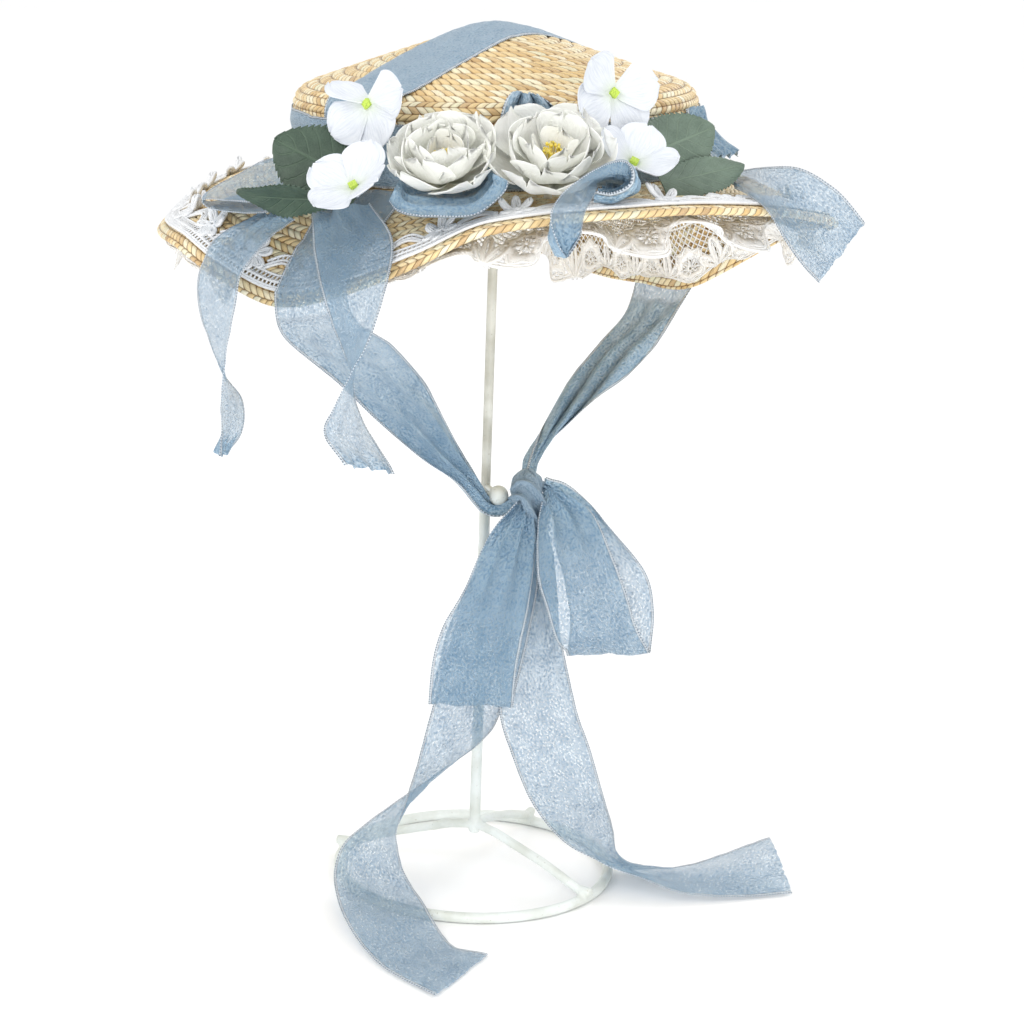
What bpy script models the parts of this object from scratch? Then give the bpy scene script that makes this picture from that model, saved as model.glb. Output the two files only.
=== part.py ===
"""Flat straw bonnet with ribbon ties, silk flowers and lace, on a wire stand.

All sizes are millimetres until solid() turns them into metres. The stand's frame
has its origin on the floor at the middle of the base ring, X to the right, Y away
from the front and Z up. The bonnet's own frame sits at the foot of the crown.
"""
import math

import bmesh
import bpy
from mathutils import Matrix, Vector

MM = 0.001

# Stand
RING_RADIUS = 63.0
WIRE_RADIUS = 2.5
SPOKE_RADIUS = 2.2
SPOKE_ANGLES = (167.0, 66.0, -36.0)
SPOKE_TOP = 24.0
POST_RADIUS = 2.6
POST_TOP = 183.0
ROD_RADIUS = 2.15
ROD_BUTTON = 7.0
KNOB_CENTRE = (6.0, -18.0, 186.0)
KNOB_RADIUS = 4.5
PEG_RADIUS = 1.2

# Bonnet
FOOT_HEIGHT = 330.0
TILT = math.radians(-2.0)
STRAW = 2.2
CROWN_RADIUS = 87.4
WALL_HEIGHT = 28.0
CROWN_ROUND = 8.0
ROUND_TURN = math.radians(73.0)
DOME_SLOPE = 0.345
DOME_BLUNT = 10.0
EDGE_ROLL = 2.5
SIDES = 48

# Trims
RIBBON_WIDTH = 38.0
CLOTH = 1.0
GAP = 0.4
CROWN_RIBBON_AZ = 230.0
TIE_LEFT_AZ = 239.0
TIE_RIGHT_AZ = 50.0
BAND_HEIGHT = 27.5
LACE_STOP = 5.0
LACE_WIDTH = 19.0
BRIM_STOPS = (40.0, LACE_STOP + LACE_WIDTH, 17.0, 11.0, LACE_STOP)
RUFFLE_WIDTH = 34.0

# Outer edge of the brim: azimuth in degrees, reach from the crown's axis, drop below its foot
BRIM_EDGE = (
    (-90, 151, 5), (-65, 151, 0), (-45, 151, 4), (-20, 150, 16), (0, 149, 26), (20, 144, 38),
    (36, 115, 64), (50, 107, 65), (66, 113, 64), (85, 128, 54), (105, 143, 38), (125, 149, 22),
    (150, 150, 17), (178, 148, 25), (205, 148, 24), (216, 145, 32), (230, 139, 42), (245, 143, 34),
    (258, 149, 20),
)

# Ribbons: x, y, z of the middle, heading and rise of the line across in degrees, width
TIE_LEFT = (
    (-70.6, -120, 279.2, -29, 10, 37), (-56, -95, 264, 0, 14, 32), (-38, -65, 239, 20, 22, 27),
    (-22, -41, 214, 35, 25, 20), (-9, -27.4, 197, 55, 22, 12), (0, -20.5, 183.4, 75, 10, 8),
    (5, -18, 180, 90, 0, 8), (10, -19, 181, 95, -5, 7), (12.6, -20.5, 183.2, 100, -10, 6),
)
TIE_RIGHT = (
    (75, 74, 260, 140, -2, 36), (62, 52, 244, 155, -8, 33), (42, 24, 224, 190, -6, 26),
    (28, 2, 210, 220, 0, 17), (21, -11, 202, 240, 10, 9), (19, -17.6, 199.1, 250, 10, 6),
)
LOOP_LEFT = (
    (16.8, -27, 184, 20, -18, 8), (13, -34, 170, 26, -15, 24), (7, -38, 147, 27, -13, 33),
    (1, -38, 128, 18, -15, 38), (-2, -37, 112, 6, -8, 38), (-3, -36, 96, 2, 0, 38),
    (-3, -33, 92.5, 4, 0, 38), (-2.5, -30, 95, 8, 0, 38), (1, -28, 112, 12, -3, 38),
    (4, -26, 126, 16, -5, 38), (10, -23, 146, 26, -10, 34), (14, -21, 163, 32, -18, 22),
    (17, -19.5, 180.3, 30, -12, 8),
)
LOOP_RIGHT = (
    (27, -22.5, 190, 73, 30, 8), (35, -26, 177, 32, 14, 28), (41, -28, 157, 22, 12, 36),
    (47, -28, 141, 18, 7, 38), (52, -27, 126, 14, 5, 38), (57, -26, 118, 10, 0, 38),
    (58, -22.5, 114.8, 8, 2, 38), (58.5, -19, 118, 5, 4, 38), (59, -15.5, 132, 0, 8, 38),
    (55, -13, 149, -8, 10, 37), (44, -11, 168, -25, 20, 28), (33, -14, 185, -45, 45, 15),
    (25.9, -17.5, 192, -60, 58, 7),
)
TAIL_LEFT = (
    (17, -15.8, 181.9, 58, -10, 6), (14.5, -15, 172, 54, -12, 11), (9, -14.5, 158, 50, -14, 22),
    (2, -14, 122, 38, -12, 33),
    (-5, -14, 84, 31, -8, 37), (-12, -17, 64, 38, 6, 37), (-23, -25, 50, 62, 8, 36),
    (-33, -30, 41, 85, 0, 35), (-40, -31, 34, 101, -4, 36), (-46, -32, 26, 120, -4, 38),
    (-49, -33, 17, 140, 0, 38), (-47, -40, 9.5, 162, 0, 38), (-42, -56, 7, 182, 0, 38),
    (-36, -75, 6.5, 195, 0, 38), (-28, -92, 3, 208, 0, 38), (-19, -106, 1.4, 224, 0, 39),
    (-2, -120, 1.4, 244, 0, 48),
)
TAIL_RIGHT = (
    (22.3, -14.2, 181.6, 50, -8, 5), (23.5, -11, 163, 36, -6, 15), (22.5, -13, 122, 22, -8, 31),
    (27, -15, 86, 20, -5, 38), (34, -16, 65, 18, 0, 38), (43, -13, 41, 28, -4, 38),
    (53, -10, 24, 48, -6, 38), (62, -9, 13.5, 68, -8, 36), (71, -9, 9, 80, -10, 34),
    (83, -12, 6, 77, -8, 36), (97, -13, 4.5, 77, 0, 38), (113, -12, 6, 83, 10, 38),
    (130, -7, 7.4, 92, 17, 38), (144, -2, 8.4, 103, 21, 38),
)
BOW_TAIL_NARROW = (
    (-88, -86, 318.2, -59, 8, 30), (-100, -94, 310, -47, 9, 36), (-108, -104, 296, -54, 15, 38),
    (-109, -108, 283, -60, 15, 38), (-108, -109, 267, -73, 13, 38), (-106, -109, 255, -84, 12, 38),
    (-103, -109, 245, -97, 10, 37), (-103, -109, 233, -98, 15, 36), (-107, -109, 223, -91, 12, 28),
)
BOW_TAIL_WIDE = (
    (-61, -97, 323.1, -38, 14, 32), (-54, -120, 310.8, -29, 17, 38), (-52, -146, 297.9, -46, 13, 38),
    (-51, -151, 282, -66, 12, 38), (-51, -152, 268, -86, 12, 38), (-53, -152, 253, -100, 14, 38),
    (-51, -152, 240, -122, 19, 38), (-44, -152, 229, -130, 16, 30),
)
BOW_TAIL_LONG = (
    (98, -62, 336, -89, -2, 32), (106, -80, 336.5, -91, -12, 38), (112, -90, 335.5, -94, -22, 38),
    (121, -98, 331, -106, -42, 38), (132, -98, 322, -123, -46, 38), (142, -94, 312, -133, -37, 36),
)
BOW_CURL = (
    (54, -127, 340, 80, -10, 14), (53, -128.4, 343.8, 88, -12, 18), (47.3, -134, 346.3, 98, -12, 22),
    (39, -149, 344.7, 88, -12, 30), (34, -160, 342.5, 74, -6, 36), (29, -172, 335.3, 76, -6, 38),
    (28, -172, 324, 80, -4, 24),
)
BOW_LOOP_LEFT = (
    (-80, -76, 325, 90, 10, 34), (-92, -71, 322, 91, 8, 36), (-104, -66, 319.5, 93, 4, 38),
    (-117, -61, 317.5, 95, -4, 38), (-121, -60, 319.5, 96, -6, 38), (-118, -60, 322, 95, -2, 38),
    (-106, -62, 326, 89, 11, 38), (-97, -68, 329, 91, 19, 38), (-85, -74, 332.5, 89, 25, 35),
)
BOW_LOOP_FRONT = (
    (-38, -122, 335, 86, 6, 22), (-33, -130, 332, 90, 8, 28), (-20, -133, 331.3, 93, 7, 30),
    (-7, -132, 332.5, 95, 6, 30), (0, -128, 339, 104, 2, 28), (1, -125, 342.5, 106, 0, 24),
)
RIBBON_PEAK = (
    (15.6, -88.9, 353, 10, 0, 28), (15, -89.1, 360, 9, -3, 26), (12, -89.8, 367, 8, -4, 14),
    (11.5, -89.9, 370, 8, -4, 5),
)
RIBBON_END = (
    (85.0, -26.2, 362, 72, -4, 20), (88.2, -30.6, 356, 69, -5, 26), (95, -37, 350.5, 67, -4, 30),
    (102, -42, 345, 65, -1, 28),
)

# Flowers: x, y, z in the bonnet's frame, heading and rise of the face, turn of a floret's
# petals, size, depth of the stalk
FLORETS = (
    (-54, -86, 33.5, 236, 8, 85, 19.5, 13.0), (-58.3, -118, 6.5, 240, 46, 20, 19.5, 6.0),
    (51, -84, 41.2, 300, 14, 68, 20.5, 18.1), (60.8, -102, 15, 300, 52, 44, 18.3, 6.0),
)
PEONIES = (
    (-20.5, -112, 17, 256, 52, 22.5, 24.2), (24.2, -114, 19.5, 280, 45, 23.0, 26.6),
)
# Leaves: x, y, z of the base, then of the tip, in the bonnet's frame, width, turn about the rib
LEAVES = (
    ("leaf_left_upper", (-58, -106, 13.6), (-86, -92, 24.2), 28, 60),
    ("leaf_left_lower", (-70, -108, 2.0), (-103, -99, 0.4), 19, 40),
    ("leaf_right_upper", (70, -82, 16), (99, -60, 26.5), 26, 55),
    ("leaf_right_lower", (76, -91, 7), (112, -69, 10.2), 16, 40),
)


def paint(name, colour, roughness, metallic=0.0):
    """One plain material with its colour, roughness and metal value."""
    made = bpy.data.materials.new(name)
    made.use_nodes = True
    shader = made.node_tree.nodes["Principled BSDF"]
    shader.inputs["Base Color"].default_value = (*colour, 1.0)
    shader.inputs["Roughness"].default_value = roughness
    shader.inputs["Metallic"].default_value = metallic
    made.diffuse_color = (*colour, 1.0)
    return made


def solid(name, points, faces, material, parent=None):
    """Turn points in millimetres and faces into one closed object in metres."""
    mesh = bpy.data.meshes.new(name)
    mesh.from_pydata([tuple(MM * c for c in p) for p in points], [], faces)
    shape = bmesh.new()
    shape.from_mesh(mesh)
    bmesh.ops.recalc_face_normals(shape, faces=shape.faces)
    bmesh.ops.triangulate(shape, faces=[f for f in shape.faces if len(f.verts) > 4])
    shape.to_mesh(mesh)
    shape.free()
    mesh.materials.append(material)
    made = bpy.data.objects.new(name, mesh)
    bpy.context.scene.collection.objects.link(made)
    made.parent = parent
    return made


def lathe(profile, sides, place):
    """Turn a profile of (radius, height) round the axis. Ends on the axis become poles,
    and a profile with no end on the axis closes on itself. place gives each point."""
    poles = profile[0][0] == 0.0
    rings = profile[1:-1] if poles else profile
    points = [place(360.0 * k / sides, r, z) for r, z in rings for k in range(sides)]
    faces = []
    spans = len(rings) - 1 if poles else len(rings)
    for i in range(spans):
        j = (i + 1) % len(rings)
        for k in range(sides):
            n = (k + 1) % sides
            near, far = (i, j) if rings[i][0] <= rings[j][0] else (j, i)
            faces.append((near * sides + k, far * sides + n, near * sides + n))
            faces.append((near * sides + k, far * sides + k, far * sides + n))
    if poles:
        for pole, ring in ((profile[0], 0), (profile[-1], len(rings) - 1)):
            points.append(place(0.0, pole[0], pole[1]))
            for k in range(sides):
                faces.append((len(points) - 1, ring * sides + k, ring * sides + (k + 1) % sides))
    return points, faces


def polar(azimuth, radius, height):
    """A point from its azimuth in degrees, radius and height."""
    turn = math.radians(azimuth)
    return Vector((radius * math.cos(turn), radius * math.sin(turn), height))


def heading(azimuth, rise):
    """Unit vector from a heading and a rise in degrees."""
    level = math.cos(math.radians(rise))
    return polar(azimuth, level, math.sin(math.radians(rise)))


def tube(path, radius, sides):
    """A round wire through the points of a path, with flat ends."""
    points = []
    faces = []
    for i, middle in enumerate(path):
        ahead = path[min(i + 1, len(path) - 1)] - path[max(i - 1, 0)]
        turn = ahead.to_track_quat("Z", "Y")
        for k in range(sides):
            points.append(middle + turn @ polar(360.0 * k / sides, radius, 0.0))
    for i in range(len(path) - 1):
        for k in range(sides):
            n = (k + 1) % sides
            faces.append((i * sides + k, i * sides + n, (i + 1) * sides + n, (i + 1) * sides + k))
    last = (len(path) - 1) * sides
    faces.append(tuple(range(sides)))
    faces.append(tuple(range(last, last + sides)))
    return points, faces


def sheet(rows, thickness, closed=False, is_hole=None):
    """Give rows of points a thickness, as cloth: cells that is_hole names are cut through.
    Both faces are split along the same diagonals, so they keep apart where the cloth twists."""
    count, width = len(rows), len(rows[0])

    def near(i):
        return i % count if closed else max(0, min(count - 1, i))

    points = []
    for side in (0.5, -0.5):
        for i in range(count):
            for j in range(width):
                along = rows[near(i + 1)][j] - rows[near(i - 1)][j]
                across = rows[i][min(j + 1, width - 1)] - rows[i][max(j - 1, 0)]
                points.append(rows[i][j] + side * thickness * along.cross(across).normalized())
    back = count * width
    cells = []
    for i in range(count if closed else count - 1):
        for j in range(width - 1):
            if is_hole is None or not is_hole(i, j):
                n = (i + 1) % count
                cells.append((i * width + j, i * width + j + 1, n * width + j + 1, n * width + j))
    faces = [half for a, b, c, d in cells for half in ((a, b, c), (a, c, d))]
    faces += [(back + c, back + b, back + a) for a, b, c in faces]
    inner = {(cell[k], cell[(k + 1) % 4]) for cell in cells for k in range(4)}
    for a, b in sorted(inner):
        if (b, a) not in inner:
            faces.append((b, a, back + a, back + b))
    used = sorted({v for face in faces for v in face})
    place = {v: k for k, v in enumerate(used)}
    return [points[v] for v in used], [tuple(place[v] for v in face) for face in faces]


def curve_through(knots, steps):
    """A smooth curve through the knots, steps points to each span."""
    found = []
    for i in range(len(knots) - 1):
        a, b = knots[i], knots[i + 1]
        before = knots[i - 1] if i else a - (b - a)
        after = knots[i + 2] if i + 2 < len(knots) else b + (b - a)
        for k in range(steps):
            t = k / steps
            found.append(0.5 * (2 * a + (b - before) * t + (2 * before - 5 * a + 4 * b - after) * t * t
                                + (3 * a - before - 3 * b + after) * t ** 3))
    return found + [knots[-1]]


def ribbon_rows(table, steps):
    """Rows of three points across a ribbon, from its table of sections."""
    left, right = [], []
    for x, y, z, turn, rise, width in table:
        reach = 0.5 * width * heading(turn, rise)
        left.append(Vector((x, y, z)) - reach)
        right.append(Vector((x, y, z)) + reach)
    pairs = zip(curve_through(left, steps), curve_through(right, steps))
    return [[a, 0.5 * (a + b), b] for a, b in pairs]


def edge_of_brim(azimuth):
    """Reach and drop of the brim's outer edge, smooth between the table's rows."""
    table = sorted((az % 360.0, reach, drop) for az, reach, drop in BRIM_EDGE)
    table = [(az - 360.0, r, d) for az, r, d in table] + table + [(az + 360.0, r, d) for az, r, d in table]
    azimuth %= 360.0
    i = max(k for k in range(len(table)) if table[k][0] <= azimuth)
    span = table[i + 1][0] - table[i][0]
    t = (azimuth - table[i][0]) / span
    found = []
    for col in (1, 2):
        a, b = table[i][col], table[i + 1][col]
        slope_a = span * (b - table[i - 1][col]) / (table[i + 1][0] - table[i - 1][0])
        slope_b = span * (table[i + 2][col] - a) / (table[i + 2][0] - table[i][0])
        found.append((2 * t ** 3 - 3 * t * t + 1) * a + (t ** 3 - 2 * t * t + t) * slope_a
                     + (3 * t * t - 2 * t ** 3) * b + (t ** 3 - t * t) * slope_b)
    return found


def brim_section(azimuth):
    """The brim's top line at one azimuth, as (distance from the crown, radius, height)."""
    reach, drop = edge_of_brim(azimuth)
    line = [(0.0, CROWN_RADIUS, 0.0)]
    for k in range(1, 17):
        u = k / 16.0
        r, z = CROWN_RADIUS + (reach - CROWN_RADIUS) * u, -drop * u ** 1.5
        line.append((line[-1][0] + math.hypot(r - line[-1][1], z - line[-1][2]), r, z))
    return line


def on_section(azimuth, line, distance, lift):
    """A point along a brim section, lifted square to it. It runs on straight past both ends."""
    k = 1
    while k < len(line) - 1 and line[k][0] < distance:
        k += 1
    (s0, r0, z0), (s1, r1, z1) = line[k - 1], line[k]
    if distance < 0.0:
        return polar(azimuth, CROWN_RADIUS + distance, lift)
    t = (distance - s0) / (s1 - s0)
    slant = math.hypot(r1 - r0, z1 - z0)
    square = Vector((z0 - z1, r1 - r0)) / slant
    return polar(azimuth, r0 + (r1 - r0) * t + lift * square.x, z0 + (z1 - z0) * t + lift * square.y)


SECTIONS = [brim_section(360.0 * k / SIDES) for k in range(SIDES)]


def on_brim(azimuth, from_edge, lift):
    """A point over the faceted brim, from_edge millimetres in from its outer edge."""
    place = (azimuth % 360.0) * SIDES / 360.0
    k = int(place) % SIDES
    ends = []
    for n in (k, k + 1):
        line = SECTIONS[n % SIDES]
        ends.append(on_section(360.0 * n / SIDES, line, line[-1][0] - from_edge, lift))
    return ends[0].lerp(ends[1], place - int(place))


def dome_height(radius):
    """Height of the crown's outer face inside the rounded shoulder."""
    shoulder = CROWN_RADIUS - CROWN_ROUND + CROWN_ROUND * math.cos(ROUND_TURN)
    top = WALL_HEIGHT + CROWN_ROUND * math.sin(ROUND_TURN)
    return top + DOME_SLOPE * (math.hypot(shoulder, DOME_BLUNT) - math.hypot(radius, DOME_BLUNT))


def crown_line(lift):
    """The crown's profile from its foot to the axis, moved out by lift."""
    line = [(CROWN_RADIUS + lift, GAP), (CROWN_RADIUS + lift, WALL_HEIGHT)]
    for k in range(1, 4):
        turn = ROUND_TURN * k / 3
        line.append((CROWN_RADIUS - CROWN_ROUND + (CROWN_ROUND + lift) * math.cos(turn),
                     WALL_HEIGHT + (CROWN_ROUND + lift) * math.sin(turn)))
    for radius in (62.0, 42.0, 22.0, 8.0):
        line.append((radius, dome_height(radius) + 1.06 * lift))
    line.append((0.0, dome_height(0.0) + lift))
    return line


def make_stand(paints):
    """Base ring, three spokes and post, soldered into one; rod, and the knob on its peg."""
    flat = math.pi / 8
    middle = WIRE_RADIUS * math.cos(flat)
    wire = [(RING_RADIUS + WIRE_RADIUS * math.cos(flat + k * math.pi / 4),
             middle + WIRE_RADIUS * math.sin(flat + k * math.pi / 4)) for k in range(8)]
    base = solid("stand_base", *lathe(wire, 32, polar), paints["wire"])
    parts = [tube([Vector((0, 0, SPOKE_TOP - 5.5)), Vector((0, 0, POST_TOP))], POST_RADIUS, 12)]
    over = 2.0 * middle + SPOKE_RADIUS - 0.8
    for azimuth in SPOKE_ANGLES:
        stops = [(1.5, SPOKE_TOP - 1.3), (12.0, SPOKE_TOP - 2.6), (40.0, 0.5 * (SPOKE_TOP + over) - 1.5),
                 (RING_RADIUS - 3.0, over), (RING_RADIUS + 4.0, over)]
        path = [polar(azimuth, radius, height) for radius, height in stops]
        parts.append(tube(path, SPOKE_RADIUS, 9))
    for k, (points, faces) in enumerate(parts):
        guide = solid(f"solder_guide_{k}", points, faces, paints["wire"])
        guide.hide_render = True
        guide.display_type = "WIRE"
        join = base.modifiers.new(f"solder_{k}", "BOOLEAN")
        join.operation = "UNION"
        join.solver = "EXACT"
        join.object = guide
    head = bonnet_point(Vector((0.0, 0.0, dome_height(0.0) - STRAW))).z - 0.9
    rod = [(0.0, POST_TOP + GAP), (ROD_RADIUS, POST_TOP + GAP), (ROD_RADIUS, head - 5.0),
           (ROD_BUTTON, head - 3.6), (ROD_BUTTON - 2.0, head - 1.2), (0.0, head)]
    solid("stand_rod", *lathe(rod, 12, polar), paints["wire"])
    ball = [(0.0, -KNOB_RADIUS)]
    ball += [(KNOB_RADIUS * math.sin(t), -KNOB_RADIUS * math.cos(t)) for t in (0.55, 1.1, 1.6, 2.1, 2.6)]
    start = Vector(KNOB_CENTRE)
    aim = Vector((0.0, 0.0, KNOB_CENTRE[2])) - start
    back = aim.length - ROD_RADIUS - GAP
    ball += [(PEG_RADIUS, KNOB_RADIUS * 0.96), (PEG_RADIUS, back), (0.0, back)]
    turn = aim.to_track_quat("Z", "Y")
    points, faces = lathe(ball, 8, polar)
    solid("stand_knob", [start + turn @ p for p in points], faces, paints["wire"])


def make_crown(paints, bonnet):
    """Crown: a straight wall, a rounded shoulder and a low tent-shaped top, open below."""
    inside = crown_line(-STRAW)
    profile = crown_line(0.0)[::-1] + [inside[k] for k in (0, 1, 4, 6, 9)]
    solid("straw_crown", *lathe(profile, SIDES, polar), paints["straw"], bonnet)


def make_brim(paints, bonnet):
    """Brim: it droops over the ears, is nearly flat in front and ends in a rolled edge."""
    half = 0.5 * STRAW
    lines = []
    for azimuth in (360.0 * k / SIDES for k in range(SIDES)):
        line = SECTIONS[len(lines)]
        slant = line[-1][0]
        spots = [(-STRAW, 0.0), (0.0, 0.0)] + [(slant - stop, 0.0) for stop in BRIM_STOPS]
        spots += [(slant - EDGE_ROLL, 1.0), (slant, -half), (slant - EDGE_ROLL, -STRAW - 1.0)]
        spots += [(slant - stop, -STRAW) for stop in (LACE_STOP, 21.0, RUFFLE_WIDTH)]
        spots += [(0.0, -STRAW), (-STRAW, -STRAW)]
        lines.append([on_section(azimuth, line, s, lift) for s, lift in spots])
    points = [p for line in lines for p in line]
    size = len(lines[0])
    faces = []
    for k in range(SIDES):
        n = (k + 1) % SIDES
        for j in range(size):
            m = (j + 1) % size
            a, b, c, d = k * size + j, k * size + m, n * size + m, n * size + j
            faces += [(a, b, d), (b, c, d)] if j < 8 else [(a, b, c), (a, c, d)]
    solid("straw_brim", points, faces, paints["straw"], bonnet)


def bump(azimuth, centre):
    """How far the band stands out over the crown ribbon: 1 there and 0 away from it."""
    off = abs((azimuth - centre + 180.0) % 360.0 - 180.0)
    return max(0.0, min(1.0, (23.0 - off) / 6.0))


def make_band(paints, bonnet):
    """Ribbon band round the crown's wall, with its foot on the brim."""

    def place(azimuth, radius, height):
        over = bump(azimuth, CROWN_RIBBON_AZ) + bump(azimuth, CROWN_RIBBON_AZ - 180.0)
        return polar(azimuth, radius + over * (CLOTH + 2 * GAP), height)

    inner = CROWN_RADIUS + 2 * GAP
    foot = 2 * GAP
    profile = [(inner, foot), (inner + CLOTH, foot), (inner + CLOTH, BAND_HEIGHT), (inner, BAND_HEIGHT)]
    solid("hat_band", *lathe(profile, SIDES, place), paints["ribbon"], bonnet)


def make_crown_ribbon(paints, bonnet):
    """Ribbon over the crown from ear to ear, tucked under the band at both ends."""
    lift = GAP + 0.5 * CLOTH + 0.3
    line = crown_line(lift)
    heights = [(line[0][0], 1.6)] + line[1:]
    rows = []
    half = 0.5 * RIBBON_WIDTH
    outer = line[0][0]
    for side in (1.0, -1.0):
        part = []
        for radius, height in heights:
            row = []
            for across in (-half, -0.5 * half, 0.0, 0.5 * half, half):
                along = radius * math.sqrt(1.0 - (across / outer) ** 2)
                spread = math.hypot(along, across)
                if radius < CROWN_RADIUS - CROWN_ROUND:
                    height = dome_height(spread) + 1.06 * lift
                row.append(Vector((side * along, across, height)))
            part.append(row)
        rows += part if side > 0 else part[-2::-1]
    turn = Matrix.Rotation(math.radians(CROWN_RIBBON_AZ), 3, "Z")
    rows = [[turn @ p for p in row] for row in rows]
    solid("crown_ribbon", *sheet(rows, CLOTH), paints["ribbon"], bonnet)


def make_tie(name, azimuth, slack, table, paints):
    """One chin tie: from the band's foot over the brim, round its edge and down to the knot."""
    half = 0.5 * RIBBON_WIDTH
    slant = brim_section(azimuth)[-1][0]
    middle = GAP + 0.5 * CLOTH
    over = middle + CLOTH + 2.5 * GAP + slack
    stops = [(slant, middle + 0.6), (45.0, middle + 0.6), (30.0, middle + 0.6), (25.5, over + 0.2),
             (15.0, over + 0.2), (LACE_STOP, over + 0.3), (EDGE_ROLL, over + 0.6), (-1.6, 0.6), (-1.8, -3.5)]
    rows = []
    for from_edge, lift in stops:
        row = []
        for across in (-half, 0.0, half):
            turn = azimuth + math.degrees(math.asin(across / on_brim(azimuth, from_edge, lift).xy.length))
            seat = brim_section(turn)[-1][0] - 6.5
            row.append(bonnet_point(on_brim(turn, min(from_edge, seat), lift)))
        rows.append(row)
    hanging = ribbon_rows(table, 2)
    solid(name, *sheet(rows + hanging, CLOTH), paints["ribbon"])


def make_knot(paints):
    """The knot of the ties, a soft lump beside the knob."""
    centre = Vector((18.5, -21.0, 190.5))

    def place(azimuth, radius, height):
        fold = 1.0 + 0.05 * math.cos(math.radians(3.0 * azimuth) + height)
        point = polar(azimuth, radius * fold, height)
        return centre + Vector((7.3 * point.x, 6.8 * point.y, 8.8 * point.z))

    ball = [(math.sin(t), -math.cos(t)) for t in (0.5, 1.0, 1.55, 2.1, 2.65)]
    solid("tie_knot", *lathe([(0.0, -1.0)] + ball + [(0.0, 1.0)], 12, place), paints["ribbon"])


def make_rim_lace(paints, bonnet):
    """Lace trim sewn on top of the brim just inside its rolled edge, with its net cut through."""
    lift = 1.7 * GAP + 0.5 * CLOTH
    rows = []
    for i in range(SIDES):
        azimuth = 360.0 * i / SIDES
        rows.append([on_brim(azimuth, stop + 0.4, lift) for stop in BRIM_STOPS[:0:-1]])
    shape = sheet(rows, CLOTH, True, lambda i, j: j == 1 and i % 2 == 0)
    solid("rim_lace", *shape, paints["lace"], bonnet)


def pressed(azimuth):
    """How far the ties hold the ruffle in: 1 under a tie and 0 away from it."""
    found = 0.0
    for tie in (TIE_LEFT_AZ, TIE_RIGHT_AZ):
        off = abs((azimuth - tie + 180.0) % 360.0 - 180.0)
        found = max(found, min(1.0, (22.0 - off) / 6.0))
    return max(0.0, found)


def make_ruffle(paints, bonnet):
    """Wide gathered lace under the brim, its scalloped edge hanging past the straw's."""
    seat = -STRAW - GAP - 0.5 * CLOTH
    count = 72
    rows = []
    for i in range(count):
        azimuth = 360.0 * (i + 0.5) / count
        held = pressed(azimuth)
        wave = 0.5 - 0.5 * math.cos(math.pi * i / 2)
        fold = 9.0 * wave * (1.0 - held)
        free = RUFFLE_WIDTH - 33.0 - 3.0 * wave + 6.5 * held
        rows.append([on_brim(azimuth, RUFFLE_WIDTH, seat - 0.4),
                     on_brim(azimuth, 0.62 * RUFFLE_WIDTH, seat - 0.8 - 0.5 * fold),
                     on_brim(azimuth, 0.26 * RUFFLE_WIDTH, seat - 1.2 - 0.8 * fold),
                     on_brim(azimuth, free, seat - 2.4 - fold)])
    shape = sheet(rows, CLOTH, True, lambda i, j: j == 1 and i % 2 == 0)
    solid("under_lace", *shape, paints["ruffle"], bonnet)


def facing(x, y, z, turn, rise):
    """Placement of a flower whose face looks along a heading and a rise."""
    aim = heading(turn, rise).to_track_quat("Z", "Y").to_matrix().to_4x4()
    return Matrix.Translation((x, y, z)) @ aim


def make_floret(name, row, paints, bonnet):
    """Four flat petals round a small square eye, on a short stalk."""
    x, y, z, turn, rise, spin, size, stalk = row
    outline = (0.46, 0.9, 1.0, 0.9)
    place_at = facing(x, y, z, turn, rise)

    def place(azimuth, radius, height):
        step = round(azimuth * 16 / 360.0) % 4
        far = max(0.0, radius - 3.0) / (size - 3.0)
        reach = radius * (1.0 - far + far * outline[step])
        return place_at @ polar(azimuth + spin, reach, height)

    profile = [(0.0, 1.6), (3.0, 1.2), (0.6 * size, 1.6), (size, 4.2), (size, 3.1), (0.6 * size, 0.5),
               (3.0, -0.4), (0.0, -stalk)]
    solid(name, *lathe(profile, 16, place), paints["floret"], bonnet)


def make_peony(name, row, paints, bonnet):
    """A cup of cupped petals round a boss of stamens, its wavy rims fused at the foot."""
    x, y, z, turn, rise, size, depth = row
    place_at = facing(x, y, z, turn, rise)

    def place(azimuth, radius, height):
        lobe = math.cos(math.radians(5.0 * azimuth)) if radius > 0.6 * size else math.cos(
            math.radians(5.0 * azimuth + 180.0))
        grow = 1.0 + 0.07 * lobe * min(1.0, radius / (0.4 * size))
        return place_at @ polar(azimuth, radius * grow, height + 1.4 * lobe * radius / size)

    profile = [(0.0, 5.0), (0.16 * size, 4.4), (0.26 * size, 1.5), (0.42 * size, 4.0), (0.52 * size, 9.5),
               (0.58 * size, 9.3), (0.52 * size, 3.0), (0.72 * size, 3.5), (0.98 * size, 8.6),
               (1.0 * size, 7.4), (0.86 * size, -1.0), (0.45 * size, -6.5), (0.0, -depth)]
    solid(name, *lathe(profile, 20, place), paints["peony"], bonnet)


def make_leaf(name, base, tip, width, turn, paints, bonnet):
    """A saw-edged leaf, folded a little along its rib."""
    start, end = Vector(base), Vector(tip)
    rib = (end - start).normalized()
    level = rib.cross(Vector((0.0, 0.0, 1.0))).normalized()
    side = Matrix.Rotation(math.radians(turn), 3, rib) @ level
    up = rib.cross(side)
    shares = (0.30, 0.72, 0.95, 1.0, 0.90, 0.66, 0.34, 0.06)
    rows = []
    for k, share in enumerate(shares):
        along = start + (end - start) * k / (len(shares) - 1)
        saw = 1.0 if k % 2 else 0.92
        reach = 0.5 * width * share * saw
        rows.append([along - reach * side + 0.12 * reach * up, along, along + reach * side + 0.12 * reach * up])
    solid(name, *sheet(rows, CLOTH), paints["leaf"], bonnet)


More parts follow.
